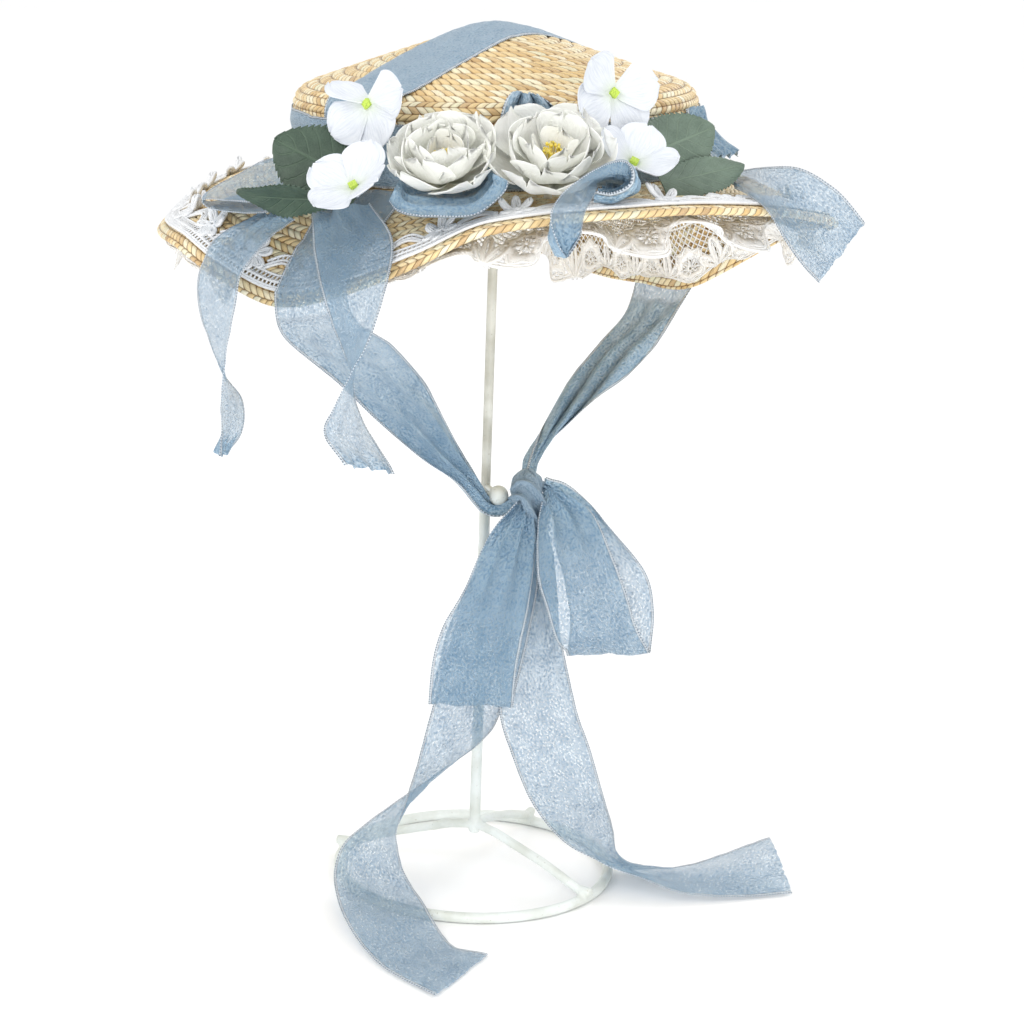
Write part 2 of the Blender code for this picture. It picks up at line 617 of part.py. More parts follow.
def bonnet_point(point):
    """A point of the bonnet's frame in the stand's frame."""
    return BONNET @ point


def centre_on_box():
    """Put the frame's origin under the middle of the whole thing, on the floor."""
    bpy.context.view_layer.update()
    corners = []
    for item in bpy.context.scene.objects:
        if item.type == "MESH" and not item.hide_render:
            corners += [item.matrix_world @ v.co for v in item.data.vertices]
    shift = [-0.5 * (min(c[k] for c in corners) + max(c[k] for c in corners)) for k in (0, 1)]
    for item in bpy.context.scene.objects:
        if item.parent is None:
            item.location += Vector((shift[0], shift[1], 0.0))
    bpy.context.view_layer.update()


for item in list(bpy.data.objects):
    bpy.data.objects.remove(item, do_unlink=True)

BONNET = Matrix.Translation((0.0, 0.0, FOOT_HEIGHT)) @ Matrix.Rotation(TILT, 4, "Y")
PAINTS = {
    "wire": paint("white_wire", (0.72, 0.75, 0.72), 0.45),
    "straw": paint("straw_plait", (0.76, 0.53, 0.24), 0.6),
    "ribbon": paint("blue_ribbon", (0.36, 0.50, 0.68), 0.5),
    "lace": paint("white_lace", (0.87, 0.88, 0.90), 0.8),
    "ruffle": paint("cream_lace", (0.84, 0.80, 0.74), 0.8),
    "floret": paint("white_petal", (0.84, 0.86, 0.90), 0.6),
    "peony": paint("cream_petal", (0.82, 0.84, 0.76), 0.6),
    "leaf": paint("green_leaf", (0.06, 0.11, 0.08), 0.6),
}
frame = bpy.data.objects.new("bonnet_frame", None)
bpy.context.scene.collection.objects.link(frame)
frame.location = (0.0, 0.0, FOOT_HEIGHT * MM)
frame.rotation_euler = (0.0, TILT, 0.0)

make_stand(PAINTS)
make_crown(PAINTS, frame)
make_brim(PAINTS, frame)
make_band(PAINTS, frame)
make_crown_ribbon(PAINTS, frame)
make_tie("tie_left", TIE_LEFT_AZ, 0.4, TIE_LEFT, PAINTS)
make_tie("tie_right", TIE_RIGHT_AZ, 0.6, TIE_RIGHT, PAINTS)
make_knot(PAINTS)
RIBBONS = (
    ("tie_loop_left", LOOP_LEFT, 2), ("tie_loop_right", LOOP_RIGHT, 2),
    ("tie_tail_left", TAIL_LEFT, 2), ("tie_tail_right", TAIL_RIGHT, 2),
    ("bow_tail_narrow", BOW_TAIL_NARROW, 2), ("bow_tail_wide", BOW_TAIL_WIDE, 2),
    ("bow_tail_long", BOW_TAIL_LONG, 3), ("bow_curl", BOW_CURL, 2),
    ("bow_loop_left", BOW_LOOP_LEFT, 2), ("bow_loop_front", BOW_LOOP_FRONT, 3),
    ("ribbon_peak", RIBBON_PEAK, 1), ("ribbon_end", RIBBON_END, 2),
)
for ribbon_name, sections, span_steps in RIBBONS:
    solid(ribbon_name, *sheet(ribbon_rows(sections, span_steps), CLOTH), PAINTS["ribbon"])
make_rim_lace(PAINTS, frame)
make_ruffle(PAINTS, frame)
for number, floret in enumerate(FLORETS, 1):
    make_floret(f"floret_{number}", floret, PAINTS, frame)
for number, peony in enumerate(PEONIES, 1):
    make_peony(f"peony_{number}", peony, PAINTS, frame)
for leaf_name, leaf_base, leaf_tip, leaf_width, leaf_turn in LEAVES:
    make_leaf(leaf_name, leaf_base, leaf_tip, leaf_width, leaf_turn, PAINTS, frame)
centre_on_box()
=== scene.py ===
"""Flat straw bonnet with ribbon ties, silk flowers and lace, on a wire display stand.

Sizes are millimetres in the stand's frame, with the origin on the floor at the middle
of the base ring, until a piece is made. The bonnet's own frame sits at the foot of the crown.
"""
import math
import random

import bpy
from mathutils import Matrix, Vector, noise


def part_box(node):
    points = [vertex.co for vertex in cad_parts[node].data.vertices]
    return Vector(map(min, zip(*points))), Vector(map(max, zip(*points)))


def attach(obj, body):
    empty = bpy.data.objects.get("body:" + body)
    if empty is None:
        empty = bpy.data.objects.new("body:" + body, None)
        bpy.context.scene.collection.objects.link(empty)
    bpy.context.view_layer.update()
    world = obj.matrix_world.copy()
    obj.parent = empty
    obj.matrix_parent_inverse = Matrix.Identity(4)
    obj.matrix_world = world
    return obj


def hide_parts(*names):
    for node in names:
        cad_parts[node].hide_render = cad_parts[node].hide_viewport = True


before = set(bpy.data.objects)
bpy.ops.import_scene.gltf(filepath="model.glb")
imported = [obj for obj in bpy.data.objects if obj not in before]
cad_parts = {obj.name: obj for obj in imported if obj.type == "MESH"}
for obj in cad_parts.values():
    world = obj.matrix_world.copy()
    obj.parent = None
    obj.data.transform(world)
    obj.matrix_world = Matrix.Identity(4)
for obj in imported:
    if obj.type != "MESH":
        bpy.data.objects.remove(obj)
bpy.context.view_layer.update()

# The stand is a ring of thick wire with three spokes to an upright post, soldered into one
# and dipped in white paint. A thinner rod stands in the post and carries the crown on a flat
# button, and a round knob on a peg beside the joint clamps it.
MM = 0.001
rod_low, rod_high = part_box("stand_rod")
STAND = Vector((0.5 * (rod_low.x + rod_high.x), 0.5 * (rod_low.y + rod_high.y), 0.0))
RING_RADIUS = 63.0
WIRE_RADIUS = 2.5
SPOKE_RADIUS = 2.2
SPOKE_ANGLES = (167.0, 66.0, -36.0)
SPOKE_TOP = 24.0
POST_RADIUS = 2.6
POST_TOP = 183.0
ROD_RADIUS = 2.15
ROD_BUTTON = 7.0
KNOB_CENTRE = Vector((6.0, -18.0, 186.0))
KNOB_RADIUS = 4.5
PEG_RADIUS = 1.2
SOLDER_RADIUS = 2.9
PAINT_VOXEL = 0.6


def start(primitive, **sizes):
    """Add a primitive with nothing else selected."""
    bpy.ops.object.select_all(action="DESELECT")
    primitive(**sizes)
    return bpy.context.object


def choose(*pieces):
    """Select just these pieces, the first one active."""
    bpy.ops.object.select_all(action="DESELECT")
    for piece in pieces:
        piece.select_set(True)
    bpy.context.view_layer.objects.active = pieces[0]


def join(name, pieces):
    """Join pieces into one mesh."""
    choose(*pieces)
    bpy.ops.object.join()
    pieces[0].name = name
    pieces[0].data.name = name
    return pieces[0]


def work(piece, kind, **settings):
    """Put one modifier on a piece and apply it."""
    choose(piece)
    step = piece.modifiers.new(kind.lower(), kind)
    for key, value in settings.items():
        setattr(step, key, value)
    bpy.ops.object.modifier_apply(modifier=step.name)


def fit(piece, finish, slot, *nodes):
    """Give a piece its finish and let it ride for the plain solids that it stands for."""
    piece.data.materials.clear()
    piece.data.materials.append(finish)
    piece.data.shade_smooth()
    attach(piece, "root")
    if nodes:
        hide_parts(*nodes)
    return piece


def smooth(piece, degrees):
    """Smooth a piece apart from its edges that are sharper than this."""
    choose(piece)
    bpy.ops.object.shade_smooth_by_angle(angle=math.radians(degrees))


def polar(azimuth, radius, height):
    """A point from its azimuth in degrees, radius and height."""
    turn = math.radians(azimuth)
    return Vector((radius * math.cos(turn), radius * math.sin(turn), height))


def rod_between(start_at, end_at, radius, sides=24):
    """A straight round bar between two points."""
    run = end_at - start_at
    piece = start(bpy.ops.mesh.primitive_cylinder_add, vertices=sides, radius=radius * MM,
                  depth=run.length * MM)
    piece.data.transform(run.to_track_quat("Z", "Y").to_matrix().to_4x4())
    piece.data.transform(Matrix.Translation(STAND + MM * (start_at + 0.5 * run)))
    return piece


def ball(centre, radius, segments, rings):
    """A ball about a point."""
    piece = start(bpy.ops.mesh.primitive_uv_sphere_add, segments=segments, ring_count=rings,
                  radius=radius * MM)
    piece.data.transform(Matrix.Translation(STAND + MM * centre))
    return piece


def put(tree, kind, settings=None, sockets=None):
    """Add a shader node. A socket given as a value is linked."""
    made = tree.nodes.new(kind)
    for key, value in (settings or {}).items():
        setattr(made, key, value)
    for key, value in (sockets or {}).items():
        if isinstance(value, bpy.types.NodeSocket):
            tree.links.new(value, made.inputs[key])
        else:
            made.inputs[key].default_value = value
    return made


def sums(tree, operation, first, second=0.0, third=0.0):
    """The result of one sum on values or sockets."""
    made = put(tree, "ShaderNodeMath", {"operation": operation}, {0: first, 1: second, 2: third})
    return made.outputs[0]


def ranged(tree, value, low, high, first=0.0, last=1.0):
    """A value that goes from first to last while another goes from low to high."""
    made = put(tree, "ShaderNodeMapRange", None, {0: value, 1: low, 2: high, 3: first, 4: last})
    return made.outputs[0]


def cloud(tree, vector, scale, detail, roughness=0.5, distortion=0.0):
    """Noise from 0 to 1."""
    made = put(tree, "ShaderNodeTexNoise", None, {
        "Vector": vector, "Scale": scale, "Detail": detail, "Roughness": roughness,
        "Distortion": distortion})
    return made.outputs[0]


def joined(tree, x, y, z=0.0):
    """A vector from its three values."""
    return put(tree, "ShaderNodeCombineXYZ", None, {0: x, 1: y, 2: z}).outputs[0]


def marks_of(tree, name):
    """The three values that a mesh keeps for its face corners under a name."""
    marks = put(tree, "ShaderNodeAttribute", {"attribute_name": name})
    return put(tree, "ShaderNodeSeparateXYZ", None, {0: marks.outputs["Vector"]}).outputs


def blend(tree, share, low, high, way="MIX"):
    """A colour between two colours."""
    mix = put(tree, "ShaderNodeMix", {"data_type": "RGBA", "blend_type": way},
              {0: share, 6: low, 7: high})
    return mix.outputs[2]


def ramp(tree, value, *stops):
    """A colour from a value, by (place, colour) stops."""
    made = put(tree, "ShaderNodeValToRGB", None, {0: value})
    line = made.color_ramp.elements
    while len(line) < len(stops):
        line.new(0.5)
    for stop, (place, colour) in zip(line, stops):
        stop.position = place
        stop.color = (*colour, 1.0)
    return made.outputs[0]


def finish_of(name, roughness):
    """A new material, its node tree and its shader."""
    made = bpy.data.materials.new(name)
    made.use_nodes = True
    shader = made.node_tree.nodes["Principled BSDF"]
    shader.inputs["Roughness"].default_value = roughness
    return made, made.node_tree, shader


def wear(tree, shader, colour, height, strength, distance, roughness=None):
    """Feed a shader its colour, a height as bumps and, where it varies, its roughness."""
    tree.links.new(colour, shader.inputs["Base Color"])
    bump = put(tree, "ShaderNodeBump", None, {"Height": height, "Strength": strength, "Distance": distance})
    tree.links.new(bump.outputs[0], shader.inputs["Normal"])
    if roughness is not None:
        tree.links.new(roughness, shader.inputs["Roughness"])


def make_mottle():
    """A node group that gives soft patches and fine grain on a surface."""
    tree = bpy.data.node_groups.new("mottle", "ShaderNodeTree")
    for label, kind in (("Vector", "Vector"), ("Patches", "Float"), ("Grain", "Float")):
        tree.interface.new_socket(label, in_out="INPUT", socket_type="NodeSocket" + kind)
    for label in ("Patch", "Fine"):
        tree.interface.new_socket(label, in_out="OUTPUT", socket_type="NodeSocketFloat")
    given, result = tree.nodes.new("NodeGroupInput"), tree.nodes.new("NodeGroupOutput")
    for label, source, detail in (("Patch", "Patches", 3.0), ("Fine", "Grain", 2.0)):
        noisy = cloud(tree, given.outputs["Vector"], given.outputs[source], detail)
        tree.links.new(noisy, result.inputs[label])
    return tree


MOTTLE = make_mottle()


def mottle(tree, patches, grain):
    """The patches and the grain of the mottle at two scales, on a piece's own coordinates."""
    place = put(tree, "ShaderNodeTexCoord").outputs["Object"]
    made = put(tree, "ShaderNodeGroup", {"node_tree": MOTTLE}, {
        "Vector": place, "Patches": patches, "Grain": grain})
    return made.outputs["Patch"], made.outputs["Fine"]


def make_wire_paint(name, thin, thick):
    """White dip paint, thin and warmer on the high places, with a slightly uneven skin."""
    made, tree, shader = finish_of(name, 0.42)
    patch, fine = mottle(tree, 70.0, 620.0)
    tone = ramp(tree, patch, (0.36, thin), (0.62, thick))
    speck = ramp(tree, fine, (0.24, (0.55, 0.52, 0.45)), (0.33, (1.0, 1.0, 1.0)))
    skin = sums(tree, "MULTIPLY_ADD", fine, 0.35, patch)
    wear(tree, shader, blend(tree, 0.55, tone, speck, "MULTIPLY"), skin, 0.35, 0.0012,
         sums(tree, "MULTIPLY_ADD", patch, 0.3, 0.28))
    return made


WIRE_PAINT = make_wire_paint("wire_paint", (0.62, 0.65, 0.60), (0.74, 0.78, 0.76))
ROD_PAINT = make_wire_paint("rod_paint", (0.47, 0.47, 0.41), (0.66, 0.67, 0.62))

wires = [start(bpy.ops.mesh.primitive_torus_add, major_segments=120, minor_segments=16,
               major_radius=RING_RADIUS * MM, minor_radius=WIRE_RADIUS * MM)]
wires[0].data.transform(Matrix.Translation(STAND + MM * Vector((0.0, 0.0, WIRE_RADIUS))))
over_ring = 2.0 * WIRE_RADIUS + SPOKE_RADIUS - 0.8
for spoke_angle in SPOKE_ANGLES:
    stops = ((1.0, SPOKE_TOP - 1.3), (12.0, SPOKE_TOP - 2.6), (40.0, 0.5 * (SPOKE_TOP + over_ring) - 1.5),
             (RING_RADIUS - 3.0, over_ring), (RING_RADIUS + 4.0, over_ring))
    bends = [polar(spoke_angle, radius, height) for radius, height in stops]
    wires += [rod_between(a, b, SPOKE_RADIUS) for a, b in zip(bends, bends[1:])]
    wires += [ball(bend, SPOKE_RADIUS, 20, 12) for bend in bends[1:-1]]
    wires.append(ball(polar(spoke_angle, RING_RADIUS, 4.4), SOLDER_RADIUS, 20, 12))
wires.append(rod_between(Vector((0.0, 0.0, SPOKE_TOP - 5.5)), Vector((0.0, 0.0, POST_TOP)), POST_RADIUS))
stand_wires = join("stand_wires", wires)
work(stand_wires, "REMESH", mode="VOXEL", voxel_size=PAINT_VOXEL * MM)
work(stand_wires, "SMOOTH", factor=0.5, iterations=9)
fit(stand_wires, WIRE_PAINT, "white_wire", "stand_base")

button_top = (rod_high.z - STAND.z) / MM
rod = rod_between(Vector((0.0, 0.0, POST_TOP + 0.4)), Vector((0.0, 0.0, button_top - 5.0)), ROD_RADIUS,
                  32)
button = start(bpy.ops.mesh.primitive_cylinder_add, vertices=40, radius=ROD_BUTTON * MM, depth=3.4 * MM)
button.data.transform(Matrix.Translation(STAND + MM * Vector((0.0, 0.0, button_top - 1.9))))
work(button, "BEVEL", width=1.4 * MM, segments=4)
stand_rod = join("rod_and_button", [rod, button])
fit(stand_rod, ROD_PAINT, "white_wire", "stand_rod")
smooth(stand_rod, 40.0)

knob = ball(KNOB_CENTRE, KNOB_RADIUS, 40, 24)
to_rod = Vector((0.0, 0.0, KNOB_CENTRE.z)) - KNOB_CENTRE
peg_end = KNOB_CENTRE + to_rod * (1.0 - (ROD_RADIUS + 0.4) / to_rod.length)
peg = rod_between(KNOB_CENTRE + 0.9 * KNOB_RADIUS * to_rod.normalized(), peg_end, PEG_RADIUS)
clamp_knob = join("clamp_knob", [knob, peg])
fit(clamp_knob, WIRE_PAINT, "white_wire", "stand_knob")

# The crown and the brim are one hat of split wheat straw, plaited into flat braid and sewn
# round and round with each row lapped over the last. The crown is a low tent-shaped top on a
# straight wall, and the brim dips over the ears and ends in a rolled edge.
FOOT_HEIGHT = 330.0
TILT = math.radians(-2.0)
BONNET = Matrix.Translation((0.0, 0.0, FOOT_HEIGHT)) @ Matrix.Rotation(TILT, 4, "Y")
STRAW = 2.2
CROWN_RADIUS = 87.4
WALL_HEIGHT = 28.0
CROWN_ROUND = 8.0
ROUND_TURN = math.radians(73.0)
SHOULDER_RADIUS = CROWN_RADIUS - CROWN_ROUND + CROWN_ROUND * math.cos(ROUND_TURN)
DOME_SLOPE = 0.345
DOME_BLUNT = 10.0
PLAIT_WIDTH = 7.0
STRAND = 3.7
DOME_ROWS = 15
BRIM_ROWS = 9
ROLL = 1.35
BRIM_REACH = 60.0
ROLL_RADIUS = 148.0
# Outer edge of the brim: azimuth in degrees, reach from the crown's axis, drop below its foot
BRIM_EDGE = (
    (-90, 151, 5), (-65, 151, 0), (-45, 151, 4), (-20, 150, 16), (0, 149, 26), (20, 144, 38),
    (36, 115, 64), (50, 107, 65), (66, 113, 64), (85, 128, 54), (105, 143, 38), (125, 149, 22),
    (150, 150, 17), (178, 148, 25), (205, 148, 24), (216, 145, 32), (230, 139, 42), (245, 143, 34),
    (258, 149, 20),
)


def edge_of_brim(azimuth):
    """Reach and drop of the brim's outer edge, smooth between the table's rows."""
    table = sorted((az % 360.0, reach, drop) for az, reach, drop in BRIM_EDGE)
    table = [(az + turn, reach, drop) for turn in (-360.0, 0.0, 360.0) for az, reach, drop in table]
    azimuth %= 360.0
    i = max(k for k in range(len(table)) if table[k][0] <= azimuth)
    span = table[i + 1][0] - table[i][0]
    t = (azimuth - table[i][0]) / span
    found = []
    for col in (1, 2):
        a, b = table[i][col], table[i + 1][col]
        slope_a = span * (b - table[i - 1][col]) / (table[i + 1][0] - table[i - 1][0])
        slope_b = span * (table[i + 2][col] - a) / (table[i + 2][0] - table[i][0])
        found.append((2 * t ** 3 - 3 * t * t + 1) * a + (t ** 3 - 2 * t * t + t) * slope_a
                     + (3 * t * t - 2 * t ** 3) * b + (t ** 3 - t * t) * slope_b)
    return found


def brim_section(azimuth):
    """The brim's top line at one azimuth, as (distance from the crown, radius, height)."""
    reach, drop = edge_of_brim(azimuth)
    line = [(0.0, CROWN_RADIUS, 0.0)]
    for k in range(1, 17):
        u = k / 16.0
        r, z = CROWN_RADIUS + (reach - CROWN_RADIUS) * u, -drop * u ** 1.5
        line.append((line[-1][0] + math.hypot(r - line[-1][1], z - line[-1][2]), r, z))
    return line


def on_section(azimuth, line, distance, lift):
    """A point along a brim section, lifted square to it. It runs on straight past both ends."""
    if distance < 0.0:
        return polar(azimuth, CROWN_RADIUS + distance, lift)
    k = 1
    while k < len(line) - 1 and line[k][0] < distance:
        k += 1
    (s0, r0, z0), (s1, r1, z1) = line[k - 1], line[k]
    t = (distance - s0) / (s1 - s0)
    slant = math.hypot(r1 - r0, z1 - z0)
    square = Vector((z0 - z1, r1 - r0)) / slant
    return polar(azimuth, r0 + (r1 - r0) * t + lift * square.x, z0 + (z1 - z0) * t + lift * square.y)


SECTIONS = [brim_section(0.5 * k) for k in range(720)]


def on_brim(azimuth, from_edge, lift):
    """A point over the brim, from_edge millimetres in from its outer edge, in the bonnet's frame."""
    place = 2.0 * (azimuth % 360.0)
    k = int(place) % 720
    ends = []
    for n in (k, k + 1):
        line = SECTIONS[n % 720]
        ends.append(on_section(0.5 * n, line, line[-1][0] - from_edge, lift))
    return ends[0].lerp(ends[1], place - int(place))


def dome_height(radius):
    """Height of the crown's outer face inside the rounded shoulder."""
    top = WALL_HEIGHT + CROWN_ROUND * math.sin(ROUND_TURN)
    return top + DOME_SLOPE * (math.hypot(SHOULDER_RADIUS, DOME_BLUNT) - math.hypot(radius, DOME_BLUNT))


def crown_place(run, lift):
    """Radius and height on the crown, run millimetres up from its foot, lifted square to it."""
    turned = CROWN_ROUND * ROUND_TURN
    if run < WALL_HEIGHT:
        return CROWN_RADIUS + lift, run + 0.4
    if run < WALL_HEIGHT + turned:
        turn = (run - WALL_HEIGHT) / CROWN_ROUND
        return (CROWN_RADIUS - CROWN_ROUND + (CROWN_ROUND + lift) * math.cos(turn),
                WALL_HEIGHT + (CROWN_ROUND + lift) * math.sin(turn))
    radius = max(0.0, SHOULDER_RADIUS - (run - WALL_HEIGHT - turned) / math.hypot(1.0, DOME_SLOPE))
    lean = DOME_SLOPE * radius / math.hypot(radius, DOME_BLUNT)
    return radius + lift * lean / math.hypot(1.0, lean), dome_height(radius) + lift / math.hypot(1.0, lean)


def half_plaits(bounds, twist, first_family):
    """Half rows of plait between run distances, as (from, to, leaning, family): each whole row
    has two halves whose strands lean away from its middle, and a roped row has one."""
    found = []
    for n, (low, high) in enumerate(zip(bounds, bounds[1:])):
        family = first_family + 2 * n
        if twist:
            found.append((low, high, twist, family))
        else:
            middle = 0.5 * (low + high)
            found.append((low, middle, 1.0, family))
            found.append((middle, high, -1.0, family + 1))
    return found


def bulge(phase, across):
    """Relief of the strands of a half plait, from 0 in its creases to 1 on a strand."""
    row = math.sqrt(max(0.0, 4.0 * across * (1.0 - across)))
    return row * (0.55 + 0.45 * abs(math.sin(math.pi * phase)) ** 0.6)


def plaited(name, columns, strips, place, ends=()):
    """A straw surface: strips run round it, each cut into spans that show its strands.
    place(azimuth, run, lift, side) gives a point, and ends holds plain (run, lift, side) points
    that close the profile. A strip is (from, to, leaning, family, count, spans, relief, side)."""
    stops = []
    for low, high, leaning, family, count, spans, relief, side in strips:
        for k in range(spans):
            across = k / spans
            stops.append((low + (high - low) * across, across, leaning, family, count, relief, side,
                          1.0 / spans))
    points, faces, marks = [], [], []
    size = len(stops) + len(ends)
    for i in range(columns):
        azimuth = 90.0 + 360.0 * i / columns
        for run, across, leaning, family, count, relief, side, step in stops:
            phase = count * i / columns + leaning * across
            points.append(place(azimuth, run, side * relief * bulge(phase, across), side))
        for run, lift, side in ends:
            points.append(place(azimuth, run, lift, side))
    for i in range(columns):
        n = (i + 1) % columns
        for j in range(size):
            m = (j + 1) % size
            faces.append((i * size + j, n * size + j, n * size + m, i * size + m))
            if j < len(stops):
                run, across, leaning, family, count, relief, side, step = stops[j]
                for column, share in ((i, across), (i + 1, across), (i + 1, across + step),
                                      (i, across + step)):
                    marks.append((count * column / columns + leaning * share, family, share))
            else:
                marks += [(0.5, 0.0, 0.5)] * 4
    return build(name, points, faces, "plait", marks)


def build(name, points, faces, mark=None, values=None):
    """A mesh piece through points in the stand's frame. values holds a vector for each face
    corner, kept under the name mark for the finish to read."""
    mesh = bpy.data.meshes.new(name)
    mesh.from_pydata([STAND + MM * p for p in points], [], faces)
    if mark:
        layer = mesh.attributes.new(mark, "FLOAT_VECTOR", "CORNER")
        layer.data.foreach_set("vector", [c for value in values for c in value])
    piece = bpy.data.objects.new(name, mesh)
    bpy.context.scene.collection.objects.link(piece)
    return piece


def make_straw():
    """Glossy split straw: each strand of the plait has its own tone, with fibres along it. Painted shade
    darkens the colour in the creases between strands and between rows.
    """
    made, tree, shader = finish_of("split_straw", 0.45)
    phase, family, across = marks_of(tree, "plait")
    strand = sums(tree, "FLOOR", phase)
    along = sums(tree, "FRACT", phase)
    chance = put(tree, "ShaderNodeTexWhiteNoise", {"noise_dimensions": "3D"}, {
        "Vector": joined(tree, strand, family)})
    shade = ramp(tree, chance.outputs["Value"],
                 (0.0, (0.44, 0.24, 0.07)), (0.14, (0.68, 0.43, 0.14)), (0.38, (0.80, 0.57, 0.24)),
                 (0.62, (0.86, 0.69, 0.38)), (0.84, (0.94, 0.87, 0.66)), (1.0, (0.78, 0.76, 0.52)))
    fibre_place = joined(tree, sums(tree, "MULTIPLY", along, 9.0), sums(tree, "MULTIPLY", across, 1.3),
                         sums(tree, "MULTIPLY_ADD", family, 3.7, strand))
    fibre = cloud(tree, fibre_place, 1.0, 3.0)
    streak = ramp(tree, fibre, (0.3, (0.74, 0.68, 0.58)), (0.6, (1.0, 1.0, 1.0)))
    fibred = blend(tree, 0.7, shade, streak, "MULTIPLY")
    creases = []
    for share, sharpness in ((along, 0.45), (across, 0.4)):
        rest = sums(tree, "SUBTRACT", 1.0, share)
        swell = sums(tree, "MULTIPLY", sums(tree, "MULTIPLY", share, 4.0), rest)
        creases.append(sums(tree, "POWER", sums(tree, "MAXIMUM", swell, 0.0), sharpness))
    open_air = sums(tree, "MULTIPLY", *creases)
    # Painted shade: the colour turns dark brown in the creases between strands and between rows.
    shadow = ramp(tree, open_air, (0.14, (0.27, 0.14, 0.05)), (0.6, (1.0, 1.0, 1.0)))
    patch = mottle(tree, 28.0, 800.0)[0]
    bleached = blend(tree, sums(tree, "MULTIPLY", patch, 0.35), fibred, (0.93, 0.86, 0.66, 1.0))
    wear(tree, shader, blend(tree, 1.0, bleached, shadow, "MULTIPLY"),
         sums(tree, "MULTIPLY_ADD", fibre, 0.12, open_air), 0.75, 0.0011,
         sums(tree, "MULTIPLY_ADD", fibre, 0.35, 0.28))
    return made


STRAW_FINISH = make_straw()


def wobble(point, amount):
    """How uneven the sewn rows leave the straw at a point."""
    return amount * noise.noise(point * 0.035)


def crown_point(azimuth, run, lift, side):
    """A point of the crown's outer face, or of its plain inner face where side is -1."""
    radius, height = crown_place(run, lift if side > 0 else lift - STRAW)
    point = polar(azimuth, radius, height)
    point.z += wobble(point, 0.4) * min(1.0, run / 40.0)
    return BONNET @ point


def strips_of(halves, radius_at, strand, spans, relief, side=1):
    """Strips of a surface from its half plaits, with as many strands as fit round each."""
    found = []
    for low, high, leaning, family in halves:
        count = max(6, round(2 * math.pi * radius_at(0.5 * (low + high)) / strand))
        found.append((low, high, leaning, family, count, spans, relief, side))
    return found


shoulder_end = WALL_HEIGHT + CROWN_ROUND * ROUND_TURN
dome_run = SHOULDER_RADIUS * math.hypot(1.0, DOME_SLOPE)
wall_bounds = [shoulder_end - PLAIT_WIDTH * k for k in range(5, -1, -1)]
dome_bounds = [shoulder_end + dome_run * 0.985 * k / DOME_ROWS for k in range(DOME_ROWS + 1)]
crown_strips = strips_of([(0.0, wall_bounds[0], 1.0, 1)], lambda run: CROWN_RADIUS, STRAND, 2, 0.7)
crown_strips += strips_of(half_plaits(wall_bounds, 0.0, 2), lambda run: CROWN_RADIUS, STRAND, 3, 0.8)
crown_strips += strips_of(half_plaits(dome_bounds, 1.35, 40), lambda run: crown_place(run, 0.0)[0],
                          STRAND + 0.4, 5, 1.1)
top_run = dome_bounds[-1]
crown_ends = [(top_run + 0.7, 0.4, 1), (top_run + 0.7, 0.2, -1), (shoulder_end + 30.0, 0.0, -1),
              (shoulder_end, 0.0, -1), (WALL_HEIGHT, 0.0, -1), (0.0, 0.0, -1)]
straw_crown = plaited("plaited_crown", 720, crown_strips, crown_point, crown_ends)
fit(straw_crown, STRAW_FINISH, "straw_plait", "straw_crown")


def brim_point(azimuth, share, lift, side):
    """A point of the brim. share counts the run from the crown's foot as 0 to the roll as 1."""
    line = COLUMN_SECTIONS[round((azimuth - 90.0) * BRIM_COLUMNS / 360.0) % BRIM_COLUMNS]
    reach = line[-1][0] - ROLL - 0.2
    if share > 1.0:
        turn = math.pi * (share - 1.0)
        out, up = (ROLL + lift) * math.sin(turn), (ROLL + lift) * math.cos(turn)
        point = on_section(azimuth, line, reach + out, up - 0.5 * STRAW)
    else:
        point = on_section(azimuth, line, share * reach, lift if side > 0 else lift - STRAW)
    point.z += wobble(point, 0.3) * max(0.0, share)
    return BONNET @ point


def brim_radius(share):
    """About how far out a row of the brim lies."""
    return CROWN_RADIUS + share * BRIM_REACH


BRIM_COLUMNS = 800
COLUMN_SECTIONS = [brim_section(90.0 + 360.0 * k / BRIM_COLUMNS) for k in range(BRIM_COLUMNS)]
row_bounds = [k / BRIM_ROWS for k in range(BRIM_ROWS + 1)]
brim_strips = strips_of(half_plaits(row_bounds, 0.0, 100), brim_radius, STRAND, 4, 0.85)
brim_strips += strips_of([(1.0, 2.0, 1.2, 140)], lambda share: ROLL_RADIUS, STRAND - 0.2, 8, 0.5)
brim_strips += strips_of(half_plaits(row_bounds[::-1], 0.0, 150), brim_radius, STRAND, 2, 0.8, -1)
brim_ends = [(0.0, 0.0, -1), (-0.03, 0.0, -1), (-0.03, 0.0, 1)]
straw_brim = plaited("plaited_brim", BRIM_COLUMNS, brim_strips, brim_point, brim_ends)
straw_brim.data.flip_normals()
fit(straw_brim, STRAW_FINISH, "straw_plait", "straw_brim")

# One crinkled sheer ribbon, 38 mm wide with a stitched selvedge along both sides, makes the band,
# the crown ribbon, the ties and the bows. It is soft enough to pleat where it is drawn in.
RIBBON_WIDTH = 38.0
SILK = 0.35
CROWN_RIBBON_AZ = 230.0


